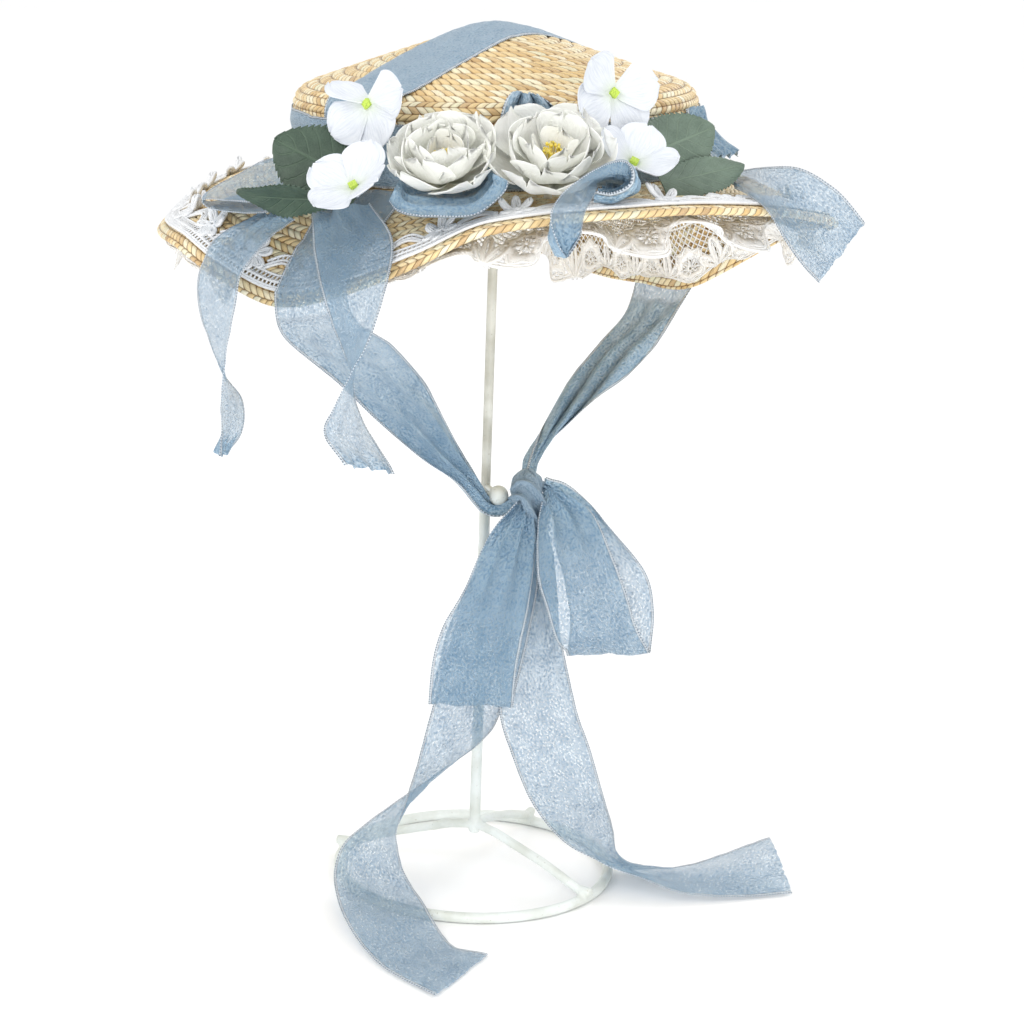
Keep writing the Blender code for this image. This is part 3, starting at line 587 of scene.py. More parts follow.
def shell(rows, marks, thickness, closed=False):
    """A cloth through rows of points: two faces a little apart with their rims. marks holds a
    vector for each point, such as how far it is along and across the flat cloth."""
    count, width = len(rows), len(rows[0])
    points = []
    for side in (0.5, -0.5):
        for i in range(count):
            ahead = (i + 1) % count if closed else min(i + 1, count - 1)
            behind = (i - 1) % count if closed else max(i - 1, 0)
            for j in range(width):
                along = rows[ahead][j] - rows[behind][j]
                across = rows[i][min(j + 1, width - 1)] - rows[i][max(j - 1, 0)]
                points.append(rows[i][j] + side * thickness * along.cross(across).normalized())
    cells = []
    for i in range(count if closed else count - 1):
        for j in range(width - 1):
            cells.append(((i, j), (i + 1, j), (i + 1, j + 1), (i, j + 1)))

    def vertex(corner, back):
        return back * count * width + (corner[0] % count) * width + corner[1]

    faces = [[vertex(c, 0) for c in cell] for cell in cells]
    faces += [[vertex(c, 1) for c in reversed(cell)] for cell in cells]
    values = [marks[i][j] for cell in cells for i, j in cell]
    values += [marks[i][j] for cell in cells for i, j in reversed(cell)]
    inner = {(vertex(cell[k], 0), vertex(cell[(k + 1) % 4], 0)) for cell in cells for k in range(4)}
    for cell in cells:
        for k in range(4):
            a, b = cell[k], cell[(k + 1) % 4]
            if (vertex(b, 0), vertex(a, 0)) not in inner:
                faces.append([vertex(b, 0), vertex(a, 0), vertex(a, 1), vertex(b, 1)])
                values += [marks[i][j] for i, j in (b, a, a, b)]
    return points, faces, values


def parted(rows):
    """Rows of points and rows of marks from rows of (point, mark)."""
    return [[point for point, mark in row] for row in rows], [[mark for point, mark in row] for row in rows]


def cloth(name, rows, marks, thickness, finish, slot, nodes, closed=False):
    """A piece of cloth with its finish. Its marks end with how gathered it is."""
    points, faces, values = shell(rows, marks, thickness, closed)
    piece = build(name, points, faces, "cloth", values)
    fit(piece, finish, slot, *nodes)
    smooth(piece, 60.0)
    return piece


def make_ribbon(name, body, deep, pale):
    """Crinkled sheer ribbon: body is how much one of its faces hides. Its crinkles run along it and catch
    the light, and its selvedges are close and ticked with stitches. Its colour runs from deep to pale over
    broad uneven patches and with the crinkles, where the deep and pale ends are painted shade and painted
    glints."""
    made, tree, shader = finish_of(name, 0.42)
    along, across, gather = marks_of(tree, "cloth")
    flat = joined(tree, sums(tree, "MULTIPLY", along, 0.8), across)
    crush = cloud(tree, flat, 0.95, 2.0, 0.6)
    patch = cloud(tree, flat, 0.13, 2.0)
    rib = sums(tree, "MULTIPLY_ADD", patch, 0.45, sums(tree, "MULTIPLY_ADD", crush, 1.5, -0.18))
    # Painted light: deep and pale paint the shade and glints of the crinkles into the colour, over broader
    # uneven patches of the cloth.
    middle = tuple(0.5 * (a + b) for a, b in zip(deep, pale))
    tone = ramp(tree, rib, (0.55, deep), (0.80, middle), (1.02, pale))
    off = sums(tree, "ABSOLUTE", across)
    hem = ranged(tree, off, 17.7, 18.1)
    rim = ranged(tree, off, 18.3, 18.6)
    tick = sums(tree, "SINE", sums(tree, "MULTIPLY", along, 5.6))
    stitch = ramp(tree, sums(tree, "MULTIPLY_ADD", tick, 0.5, 0.5),
                  (0.35, (0.13, 0.16, 0.20)), (0.65, (0.72, 0.78, 0.84)))
    edged = blend(tree, rim, (0.80, 0.85, 0.90, 1.0), stitch)
    wear(tree, shader, blend(tree, sums(tree, "MULTIPLY", hem, 0.85), tone, edged),
         sums(tree, "MULTIPLY_ADD", hem, 0.8, rib), 0.9, 0.0015,
         sums(tree, "MULTIPLY_ADD", crush, 0.5, 0.2))
    weft = ranged(tree, rib, 0.55, 1.05, body + 0.15, body - 0.15)
    drawn = sums(tree, "MULTIPLY", gather, 1.0 - body)
    cover = sums(tree, "MAXIMUM", sums(tree, "ADD", weft, drawn), sums(tree, "MULTIPLY", hem, 0.78))
    tree.links.new(sums(tree, "MINIMUM", cover, 1.0), shader.inputs["Alpha"])
    return made


SHEER = make_ribbon("sheer_ribbon", 0.43, (0.17, 0.31, 0.46), (0.50, 0.67, 0.80))
CLOSE = make_ribbon("layered_ribbon", 0.90, (0.19, 0.305, 0.425), (0.50, 0.635, 0.75))


def heading(azimuth, rise):
    """Unit vector from a heading and a rise in degrees."""
    level = math.cos(math.radians(rise))
    return polar(azimuth, level, math.sin(math.radians(rise)))


def curve_through(knots, steps):
    """A smooth curve through the knots, steps points to each span."""
    found = []
    for i in range(len(knots) - 1):
        a, b = knots[i], knots[i + 1]
        before = knots[i - 1] if i else a - (b - a)
        after = knots[i + 2] if i + 2 < len(knots) else b + (b - a)
        for k in range(steps):
            t = k / steps
            found.append(0.5 * (2 * a + (b - before) * t + (2 * before - 5 * a + 4 * b - after) * t * t
                                + (3 * a - before - 3 * b + after) * t ** 3))
    return found + [knots[-1]]


def edges_of(table, steps):
    """Both edges of a ribbon from its sections: x, y, z, heading and rise across, width."""
    ends = []
    for x, y, z, turn, rise, width in table:
        reach = 0.5 * width * heading(turn, rise)
        ends.append((Vector((x, y, z)) - reach, Vector((x, y, z)) + reach))
    return list(zip(*(curve_through(side, steps) for side in zip(*ends))))


def drape(edges, columns, seed, pleats=3.0, free=True, loose=1.0):
    """Rows and marks of a soft ribbon between two edges, pleated where they draw together."""
    rows, run = [], 0.0
    middles = [0.5 * (a + b) for a, b in edges]
    last = len(edges) - 1
    for i, (a, b) in enumerate(edges):
        run += (middles[i] - middles[i - 1]).length if i else 0.0
        ahead = middles[min(i + 1, last)] - middles[max(i - 1, 0)]
        square = ahead.cross(b - a).normalized()
        gather = max(0.0, 1.0 - (b - a).length / RIBBON_WIDTH)
        depth = min(2.6, 7.5 * gather)
        sway = 0.8 * noise.noise(Vector((run * 0.014, seed, 1.0)))
        row = []
        for j in range(columns + 1):
            t = j / columns
            flat = (t - 0.5) * RIBBON_WIDTH
            phase = 2 * math.pi * (pleats * t + sway) + seed
            soft = noise.noise(Vector((run * 0.028, flat * 0.075, seed))) * 1.5
            crush = noise.noise(Vector((run * 0.16, flat * 0.30, seed + 9.0))) * 0.42
            point = a.lerp(b, t) + (depth * math.sin(phase) + loose * (soft + crush)) * square
            point += 0.22 * depth * math.cos(phase) * (b - a).normalized()
            if free and i == last:
                point += ahead.normalized() * random.Random(seed * 1000 + j).uniform(-0.5, 0.5)
            row.append((point, (run, flat, min(1.0, 1.7 * gather))))
        rows.append(row)
    return parted(rows)


def ribbon(name, table, node, steps, seed, held, rests, finish=SHEER, **way):
    """One ribbon of the trimming from its table."""
    rows, marks = drape(edges_of(table, steps), 24, seed, **way)
    piece = cloth(name, rows, marks, SILK, finish, "blue_ribbon", [node])
    return piece


# A doubled band of the ribbon lies round the crown's wall with soft folds along it, stitched
# through at its foot. The end of the crown ribbon makes it stand out on two sides.
BAND_HEIGHT = 27.5
CROWN_GIRTH = 2 * math.pi * CROWN_RADIUS


def bump(azimuth, centre):
    """How far the band stands out over the crown ribbon: 1 there and 0 away from it."""
    off = abs((azimuth - centre + 180.0) % 360.0 - 180.0)
    near = max(0.0, min(1.0, (23.0 - off) / 6.0))
    return near * near * (3.0 - 2.0 * near)


def band_rows(columns, heights):
    """Rows and marks of the band, with shallow folds that wander along it."""
    rows = []
    for i in range(columns + 1):
        azimuth = 360.0 * i / columns
        over = bump(azimuth, CROWN_RIBBON_AZ) + bump(azimuth, CROWN_RIBBON_AZ - 180.0)
        spot = polar(azimuth, 1.0, 0.0)
        row = []
        for j in range(heights + 1):
            t = j / heights
            drift = noise.noise(Vector((2.2 * spot.x, 2.2 * spot.y, 4.0)))
            fold = 0.5 + 0.5 * math.sin(2 * math.pi * (2.6 * t + 0.9 * drift))
            crush = noise.noise(Vector((30.0 * spot.x, 30.0 * spot.y, 6.0 * t)))
            out = 1.1 + 1.8 * over + 1.1 * fold * math.sin(math.pi * t) + 0.35 * crush
            top = 0.9 * noise.noise(Vector((5.0 * spot.x, 5.0 * spot.y, 8.0))) * t
            point = BONNET @ polar(azimuth, CROWN_RADIUS + out, 0.9 + (BAND_HEIGHT - 1.2) * t + top)
            row.append((point, (CROWN_GIRTH * i / columns, (t - 0.5) * RIBBON_WIDTH, 0.35)))
        rows.append(row)
    points, marks = parted(rows)
    return points[:-1], marks


rows, marks = band_rows(360, 18)
hat_band = cloth("ribbon_band", rows, marks, SILK, CLOSE, "blue_ribbon", ["hat_band"], True)

# The crown ribbon is a length of the same ribbon laid over the top of the crown from ear to ear.
# Both ends go in behind the band, which holds them, and it lies close on the straw with a few
# slack folds.
CROWN_LIFT = 1.5


def crown_ribbon_rows(columns):
    """Rows and marks of the crown ribbon from one foot of the crown over its top to the other."""
    runs = [2.2 + (shoulder_end + dome_run - 2.2) * k / 90.0 for k in range(91)]
    line = [crown_place(run, CROWN_LIFT) for run in runs]
    half = 0.5 * RIBBON_WIDTH
    rows = []
    for side in (1.0, -1.0):
        part = []
        for run, (radius, height) in zip(runs, line):
            row = []
            along = side * (runs[-1] - run)
            for j in range(columns + 1):
                across = RIBBON_WIDTH * j / columns - half
                forward_run = radius * math.sqrt(1.0 - (across / line[0][0]) ** 2)
                spread = math.hypot(forward_run, across)
                if radius < CROWN_RADIUS - CROWN_ROUND:
                    height = dome_height(spread) + 1.06 * CROWN_LIFT
                slack = 0.9 * max(0.0, noise.noise(Vector((along * 0.03, across * 0.16, 5.0))))
                slack += 0.3 * noise.noise(Vector((along * 0.2, across * 0.35, 2.0)))
                slack *= min(1.0, max(0.0, run - WALL_HEIGHT) / 12.0)
                near_edge = max(0.0, abs(across) / half - 0.75) / 0.25
                slack -= 0.9 * near_edge * min(1.0, max(0.0, run - 40.0) / 8.0)
                point = Vector((side * forward_run, across, height + slack + 0.25))
                row.append((point, (along, across, 0.0)))
            part.append(row)
        rows += part if side > 0 else part[-2::-1]
    turn = BONNET @ Matrix.Rotation(math.radians(CROWN_RIBBON_AZ), 4, "Z")
    points, marks = parted(rows)
    return [[turn @ point for point in row] for row in points], marks


rows, marks = crown_ribbon_rows(22)
crown_ribbon = cloth("ribbon_over_crown", rows, marks, SILK, CLOSE, "blue_ribbon", ["crown_ribbon"])

# Two loose ends of ribbon show at the band: a peak pulled up in front between the flowers, and
# a crushed end that stands off the band on the right.
# A ribbon's sections in order: x, y, z of its middle, heading and rise across it, width
RIBBON_PEAK = (
    (15.6, -88.9, 353, 10, 0, 31), (15.4, -89.1, 360, 9, -3, 27), (14, -89.8, 367, 8, -5, 19),
    (12.5, -89.9, 371, 8, -8, 10),
)
RIBBON_END = (
    (83.5, -26.7, 361, 72, -4, 22), (85.6, -31.0, 355, 69, -5, 27), (91.5, -37.5, 349, 67, -4, 30),
    (98, -42, 343.5, 65, -1, 28),
)
ribbon("ribbon_peak_front", RIBBON_PEAK, "ribbon_peak", 8, 11, "folded", ["ribbon_band"], CLOSE, loose=0.4)
ribbon("ribbon_end_right", RIBBON_END, "ribbon_end", 8, 12, "folded", ["ribbon_band"], loose=0.6)

# Each chin tie starts at the band, lies over the brim and its lace, pulls the edge of the brim
# down and runs, drawn in to a cord, to the knot in front of the stand.
TIE_LEFT_AZ = 239.0
TIE_RIGHT_AZ = 45.0
TIE_COLUMNS = 24
TIE_LEFT = (
    (-70.6, -120, 279.2, -29, 10, 37), (-56, -95, 264, 0, 14, 32), (-38, -65, 239, 20, 22, 27),
    (-22, -41, 214, 35, 25, 20), (-9, -27.4, 197, 55, 22, 12), (0, -20.5, 183.4, 75, 10, 8),
    (5, -18, 180, 90, 0, 8), (10, -19, 181.5, 95, -5, 7), (14.4, -20.6, 185.0, 100, -10, 6),
)
TIE_RIGHT = (
    (76.5, 68, 256.5, 141, -4, 28), (63.5, 51, 243.5, 155, -8, 26), (42.5, 24, 224, 190, -6, 21),
    (27.5, 2, 210, 220, 0, 13), (20.5, -11, 202, 240, 10, 9), (18.8, -18.4, 196.4, 250, 10, 6),
)


def tie_over_brim(azimuth, slack, drawn):
    """Rows of a tie from the band to the brim's edge, where it may be drawn in, and just over it."""
    slant = brim_section(azimuth)[-1][0]
    over = 2.9 + slack
    stops = [(slant, 1.9), (45.0, 1.9), (30.0, 1.9), (25.5, over + 0.2), (15.0, over + 0.2),
             (5.0, over + 0.3), (2.5, over + 0.6), (-1.6, 0.6), (-1.8, -3.5)]
    rows = []
    for (far, low_lift), (near, high_lift) in zip(stops, stops[1:]):
        steps = max(2, round(abs(far - near) / 2.2))
        for k in range(steps):
            t = k / steps
            from_edge, lift = far + (near - far) * t, low_lift + (high_lift - low_lift) * t
            rows.append(tie_row(azimuth, from_edge, lift, drawn))
    return rows + [tie_row(azimuth, *stops[-1], drawn)]


def tie_row(azimuth, from_edge, lift, drawn):
    """One row of a tie square to its run over the brim."""
    row = []
    width = RIBBON_WIDTH * (1.0 - drawn * min(1.0, max(0.0, 14.0 - from_edge) / 15.0))
    for j in range(TIE_COLUMNS + 1):
        across = width * (j / TIE_COLUMNS - 0.5)
        turn = azimuth + math.degrees(math.asin(across / on_brim(azimuth, from_edge, lift).xy.length))
        seat = brim_section(turn)[-1][0] - 6.5
        point = on_brim(turn, min(from_edge, seat), lift)
        ripple = noise.noise(Vector((from_edge * 0.05, across * 0.11, azimuth)))
        point.z += max(0.0, ripple) * 1.0 if from_edge > 6.0 else 0.0
        row.append(BONNET @ point)
    return row


def soften(rows, first, last, times):
    """Ease the bend of a ribbon between two of its rows."""
    rows = [list(row) for row in rows]
    for again in range(times):
        for i in range(first, last):
            for j in range(len(rows[i])):
                rows[i][j] = 0.5 * rows[i][j] + 0.25 * (rows[i - 1][j] + rows[i + 1][j])
    return rows


def tie(name, node, azimuth, slack, drawn, table, seed):
    """One whole chin tie."""
    head = tie_over_brim(azimuth, slack, drawn)
    tail, tail_marks = drape(edges_of(table, 9), TIE_COLUMNS, seed, pleats=2.5, free=False, loose=0.8)
    middle, run, marks = TIE_COLUMNS // 2, 0.0, []
    for i, row in enumerate(head):
        run += (row[middle] - head[i - 1][middle]).length if i else 0.0
        marks.append([(run, RIBBON_WIDTH * (j / TIE_COLUMNS - 0.5), 0.0) for j in range(TIE_COLUMNS + 1)])
    run += (tail[0][middle] - head[-1][middle]).length
    marks += [[(run + along, across, gather) for along, across, gather in row] for row in tail_marks]
    rows = soften(head + tail, len(head) - 5, len(head) + 9, 8)
    piece = cloth(name, rows, marks, SILK, SHEER, "blue_ribbon", [node])
    return piece


# The ties meet in one tight knot beside the stand's ball. It is wound from the ribbon itself,
# with its folds drawn round it and one strap of ribbon crossing its front.
KNOT_CENTRE = Vector((18.5, -21.0, 190.5))
KNOT_SIZE = Vector((7.3, 6.8, 8.8))
STRAP = (
    (12.6, -25.0, 187.5, 70, 55, 6), (16.5, -28.6, 191.5, 62, 64, 10), (20.5, -28.6, 187.5, 34, 60, 12),
    (24.0, -25.8, 180.5, 30, 35, 10), (25.5, -23.4, 174.5, 30, 20, 6),
)

knot = start(bpy.ops.mesh.primitive_uv_sphere_add, segments=96, ring_count=64, radius=1.0)
for spot in knot.data.vertices:
    turn = math.atan2(spot.co.y, spot.co.x)
    crease = abs(math.sin(2.5 * turn + 2.4 * spot.co.z)) ** 0.5
    uneven = noise.noise(spot.co * 2.2 + Vector((3.0, 1.0, 7.0)))
    spot.co *= 0.90 + 0.12 * crease + 0.06 * uneven
    spot.co = STAND + MM * (KNOT_CENTRE + Vector(a * b for a, b in zip(KNOT_SIZE, spot.co)))
knot_marks = knot.data.attributes.new("cloth", "FLOAT_VECTOR", "CORNER")
for corner in knot.data.loops:
    local = (knot.data.vertices[corner.vertex_index].co - STAND) / MM - KNOT_CENTRE
    knot_marks.data[corner.index].vector = (3.0 * local.z, 2.0 * local.x, 0.9)
knot.name = "tie_knot_wrapped"
fit(knot, CLOSE, "blue_ribbon", "tie_knot")
rows, marks = drape(edges_of(STRAP, 8), 16, 31, pleats=1.5, free=False, loose=0.2)
marks = [[(along, 0.8 * across, 0.8) for along, across, gather in row] for row in marks]
knot_strap = cloth("tie_knot_strap", rows, marks, SILK, CLOSE, "blue_ribbon", [])

tie("tie_from_left", "tie_left", TIE_LEFT_AZ, 0.4, 0.0, TIE_LEFT, 3)
tie("tie_from_right", "tie_right", TIE_RIGHT_AZ, 0.6, 0.24, TIE_RIGHT, 4)

# The bow under the knot has two loops that hang down. Its two tails fall behind them, twist once
# at the stand's foot and lie out over the base ring and the table.
LOOP_LEFT = (
    (16.8, -27, 184, 20, -18, 8), (13, -34, 170, 26, -15, 24), (7, -38, 147, 27, -13, 33),
    (1, -38, 128, 18, -15, 38), (-2, -37, 112, 6, -8, 38), (-3, -36, 96, 2, 0, 38),
    (-3, -33, 92.5, 4, 0, 38), (-2.5, -30, 95, 8, 0, 38), (1, -28, 112, 12, -3, 38),
    (4, -26, 126, 16, -5, 38), (10, -23, 146, 26, -10, 34), (14, -21, 163, 32, -18, 22),
    (17, -19.5, 180.3, 30, -12, 8),
)
LOOP_RIGHT = (
    (27, -22.5, 190, 73, 30, 8), (35, -26, 177, 32, 14, 28), (41, -28, 157, 22, 12, 36),
    (47, -28, 141, 18, 7, 38), (52, -27, 126, 14, 5, 38), (57, -26, 118, 10, 0, 38),
    (58, -22.5, 114.8, 8, 2, 38), (58.5, -19, 118, 5, 4, 38), (59, -15.5, 132, 0, 8, 38),
    (55, -13, 149, -8, 10, 37), (44, -11, 168, -25, 20, 28), (33, -14, 185, -45, 45, 15),
    (25.9, -17.5, 192, -60, 58, 7),
)
TAIL_LEFT = (
    (17, -15.8, 181.9, 58, -10, 6), (14.5, -15, 172, 54, -12, 11), (9, -14.5, 158, 50, -14, 22),
    (2, -14, 122, 38, -12, 33),
    (-5, -14, 84, 31, -8, 37), (-12, -17, 64, 38, 6, 37), (-23, -25, 50, 62, 8, 36),
    (-32, -30, 41, 85, 0, 35), (-38, -31, 34, 101, -4, 36), (-43, -32, 26, 120, -4, 38),
    (-46, -33, 17, 140, 0, 38), (-45, -40, 9.5, 162, 0, 38), (-41, -56, 7, 182, 0, 38),
    (-36, -75, 6.5, 195, 0, 38), (-28, -92, 3, 208, 0, 38), (-19, -106, 1.4, 224, 0, 39),
    (-2, -120, 1.4, 244, 0, 48),
)
TAIL_RIGHT = (
    (22.3, -14.2, 181.6, 50, -8, 5), (23.5, -11, 163, 36, -6, 15), (22.5, -13, 122, 22, -8, 31),
    (27, -15, 86, 20, -5, 38), (34, -16, 65, 18, 0, 38), (43, -13, 41, 28, -4, 38),
    (53, -10, 23, 48, -8, 37), (62, -10, 12.8, 70, -14, 34), (71, -11.5, 8.0, 84, -16, 32),
    (83, -13.5, 6.6, 81, -12, 35), (97, -14, 5, 79, -2, 38), (113, -12, 6, 83, 9, 38),
    (130, -7, 7.4, 92, 17, 38), (144, -2, 8.4, 103, 21, 38),
)
on_knot, on_stand = ["tie_knot_wrapped"], ["tie_knot_wrapped", "stand_wires"]
ribbon("bow_loop_hanging_left", LOOP_LEFT, "tie_loop_left", 9, 21, "hung", on_knot, free=False)
ribbon("bow_loop_hanging_right", LOOP_RIGHT, "tie_loop_right", 9, 22, "hung", on_knot, free=False)
ribbon("tail_to_table_left", TAIL_LEFT, "tie_tail_left", 9, 23, "hung", on_stand, loose=0.7)
ribbon("tail_to_table_right", TAIL_RIGHT, "tie_tail_right", 10, 24, "hung", on_stand, loose=0.9)

# A flat bow of the same ribbon is stitched to the brim under the flowers: two loops, two tails
# that hang over the left of the brim, one light tail on the right and a small curl in front.
BOW_TAIL_NARROW = (
    (-88, -86, 318.2, -59, 8, 30), (-100, -94, 310, -47, 9, 36), (-108, -104, 296, -54, 15, 38),
    (-109, -108, 283, -60, 15, 38), (-108, -109, 267, -73, 13, 38), (-106, -109, 255, -84, 12, 38),
    (-103, -109, 245, -97, 10, 37), (-103, -109, 233, -98, 15, 36), (-107, -109, 223, -91, 12, 28),
)
BOW_TAIL_WIDE = (
    (-61, -97, 323.1, -38, 14, 32), (-54, -120, 310.8, -29, 17, 38), (-52, -146, 297.9, -46, 13, 38),
    (-51, -151, 282, -66, 12, 38), (-51, -152, 268, -86, 12, 38), (-53, -152, 253, -100, 14, 38),
    (-51, -152, 240, -122, 19, 38), (-44, -152, 229, -130, 16, 30),
)
BOW_TAIL_LONG = (
    (98, -62, 336, -89, -2, 32), (106, -80, 336.5, -91, -12, 38), (112, -90, 335.5, -94, -22, 38),
    (121, -98, 331, -106, -42, 38), (132, -98, 322, -123, -46, 38), (142, -94, 312, -133, -37, 36),
)
BOW_CURL = (
    (42, -128, 337.2, 76, 2, 22), (49, -127.5, 336.8, 78, -2, 21), (54.6, -127.4, 340, 80, -10, 20),
    (53.4, -128.8, 344.4, 88, -13, 22), (47.3, -134, 347.0, 98, -14, 26), (39, -148, 345.7, 86, -12, 32),
    (34, -160, 342.5, 70, -6, 36), (29, -171, 335.3, 68, -6, 36), (27.6, -172, 326, 66, -4, 24),
    (27.4, -171, 318.6, 66, -4, 3),
)
BOW_LOOP_LEFT = (
    (-80, -76, 325, 90, 10, 34), (-92, -71, 322, 91, 8, 36), (-104, -66, 319.5, 93, 4, 38),
    (-117, -61, 317.5, 95, -4, 38), (-121, -60, 319.5, 96, -6, 38), (-118, -60, 322, 95, -2, 38),
    (-106, -62, 326, 89, 11, 38), (-97, -68, 329, 91, 19, 38), (-85, -74, 332.5, 89, 25, 35),
)
BOW_LOOP_FRONT = (
    (-38, -122, 335, 86, 6, 22), (-33, -130, 332, 90, 8, 28), (-20, -133, 331.3, 93, 7, 30),
    (-7, -132, 332.5, 95, 6, 30), (0, -128, 339, 104, 2, 28), (1, -125, 342.5, 106, 0, 24),
)
on_straw = ["plaited_brim"]
ribbon("bow_loop_flat_left", BOW_LOOP_LEFT, "bow_loop_left", 9, 41, "folded", on_straw,
       free=False, loose=0.5)
ribbon("bow_loop_flat_front", BOW_LOOP_FRONT, "bow_loop_front", 12, 42, "folded", on_straw,
       free=False, loose=0.4)
ribbon("bow_tail_left_narrow", BOW_TAIL_NARROW, "bow_tail_narrow", 10, 43, "hung", on_straw)
ribbon("bow_tail_left_wide", BOW_TAIL_WIDE, "bow_tail_wide", 10, 44, "hung", on_straw)
ribbon("bow_tail_right_long", BOW_TAIL_LONG, "bow_tail_long", 12, 45, "laid", on_straw, loose=0.6)
ribbon("bow_curl_front", BOW_CURL, "bow_curl", 10, 46, "folded", on_straw, loose=0.5)

# Crocheted white lace is sewn flat on top of the brim just inside its rolled edge: a ladder of
# two cords, a zigzag net and a row of six-petalled daisies whose inner petals stand up a little.
LACE_EDGE = 5.4
LACE_LIFT = 1.55
DAISIES = 27
DAISY_STEP = 34.0
CROSSED_AT = (46.0, 224.0, 239.0, 250.0, 321.0)


def make_yarn(name, shade, light, patches):
    """Matt cotton, twisted, a little shadowed between its threads."""
    made, tree, shader = finish_of(name, 0.85)
    patch, fine = mottle(tree, patches, 1500.0)
    tone = ramp(tree, sums(tree, "MULTIPLY_ADD", fine, 0.5, sums(tree, "MULTIPLY", patch, 0.5)),
                (0.36, shade), (0.56, light))
    twist = put(tree, "ShaderNodeTexWave", {"wave_type": "BANDS", "bands_direction": "DIAGONAL"}, {
        "Vector": put(tree, "ShaderNodeTexCoord").outputs["Object"], "Scale": 700.0, "Distortion": 4.0,
        "Detail": 1.0})
    wear(tree, shader, tone, sums(tree, "MULTIPLY_ADD", fine, 0.5, twist.outputs[1]), 0.5, 0.0005)
    return made


WHITE_YARN = make_yarn("white_crochet", (0.84, 0.86, 0.89), (0.95, 0.96, 0.97), 60.0)


def at(along, across, height=0.0):
    """A point of a lace while it is flat."""
    return Vector((along, across, height))


def thread(shape, path, radius, sides, loop=False, value=(0.0, 0.0, 0.0)):
    """Add a thread along a path to a shape, which is points, faces and corner values."""
    points, faces, values = shape
    first, count = len(points), len(path)
    for k, spot in enumerate(path):
        ahead = path[(k + 1) % count] if loop else path[min(k + 1, count - 1)]
        behind = path[k - 1] if loop or k else path[0]
        run = (ahead - behind).normalized()
        side = at(-run.y, run.x)
        side = side.normalized() if side.length > 0.01 else at(1.0, 0.0)
        up = run.cross(side)
        for n in range(sides):
            turn = 2.0 * math.pi * n / sides
            points.append(spot + radius * (math.cos(turn) * side + math.sin(turn) * up))
    size = len(faces)
    for k in range(count if loop else count - 1):
        low, high = first + k * sides, first + (k + 1) % count * sides
        for n in range(sides):
            m = (n + 1) % sides
            faces.append((low + n, low + m, high + m, high + n))
    if not loop:
        faces.append(tuple(first + n for n in reversed(range(sides))))
        faces.append(tuple(first + (count - 1) * sides + n for n in range(sides)))
    values += [value] * sum(len(face) for face in faces[size:])


def loop_petal(centre, angle, near, far, width, rise, count=12):
    """A closed teardrop of thread that stands away from a centre."""
    turn = math.radians(angle)
    out, side = at(math.cos(turn), math.sin(turn)), at(-math.sin(turn), math.cos(turn))
    path = []
    for k in range(count):
        t = 2 * math.pi * k / count
        share = 0.5 - 0.5 * math.cos(t)
        spread = 0.5 * width * math.sin(t) * (0.55 + 0.45 * share)
        reach = near + (far - near) * share
        path.append(centre + reach * out + spread * side + at(0.0, 0.0, rise * share ** 2))
    return path


def straight_cord(length, across, height, step):
    """A closed run of points at one distance across a lace."""
    count = round(length / step)
    return [at(length * k / count, across, height) for k in range(count)]


def azimuth_table(from_edge):
    """Length round the brim at every half degree, from which lace finds its place."""
    spots = [on_brim(0.5 * k, from_edge, 0.0) for k in range(721)]
    run = [0.0]
    for a, b in zip(spots, spots[1:]):
        run.append(run[-1] + (b - a).length)
    return run


LACE_RUN = azimuth_table(12.0)


def lace_azimuth(share):
    """The azimuth at a share of the way round the lace."""
    target = (share % 1.0) * LACE_RUN[-1]
    low, high = 0, 720
    while high - low > 1:
        middle = (low + high) // 2
        low, high = (middle, high) if LACE_RUN[middle] <= target else (low, middle)
    return 0.5 * (low + (target - LACE_RUN[low]) / (LACE_RUN[high] - LACE_RUN[low]))


def daisy(shape, centre, stand, chance):
    """One crocheted daisy: six loops round a ring, the inner ones standing up."""
    for angle in (90, 30, -30, -90, -150, 150):
        rise = stand * chance.uniform(2.6, 6.2) if angle > 0 else stand * chance.uniform(0.2, 0.8)
        far, lean = 9.0 if angle == 90 else 8.2, angle + chance.uniform(-7, 7)
        thread(shape, loop_petal(centre, lean, 1.5, far, 4.1, rise), 0.82, 5, True)
        thread(shape, loop_petal(centre, lean, 1.5, far - 1.2, 1.7, rise, 8), 0.6, 4, True)
    thread(shape, loop_petal(centre + at(-1.7, 0.0, 0.35), 0, 0.0, 3.4, 3.4, 0.0, 10), 0.85, 5, True)


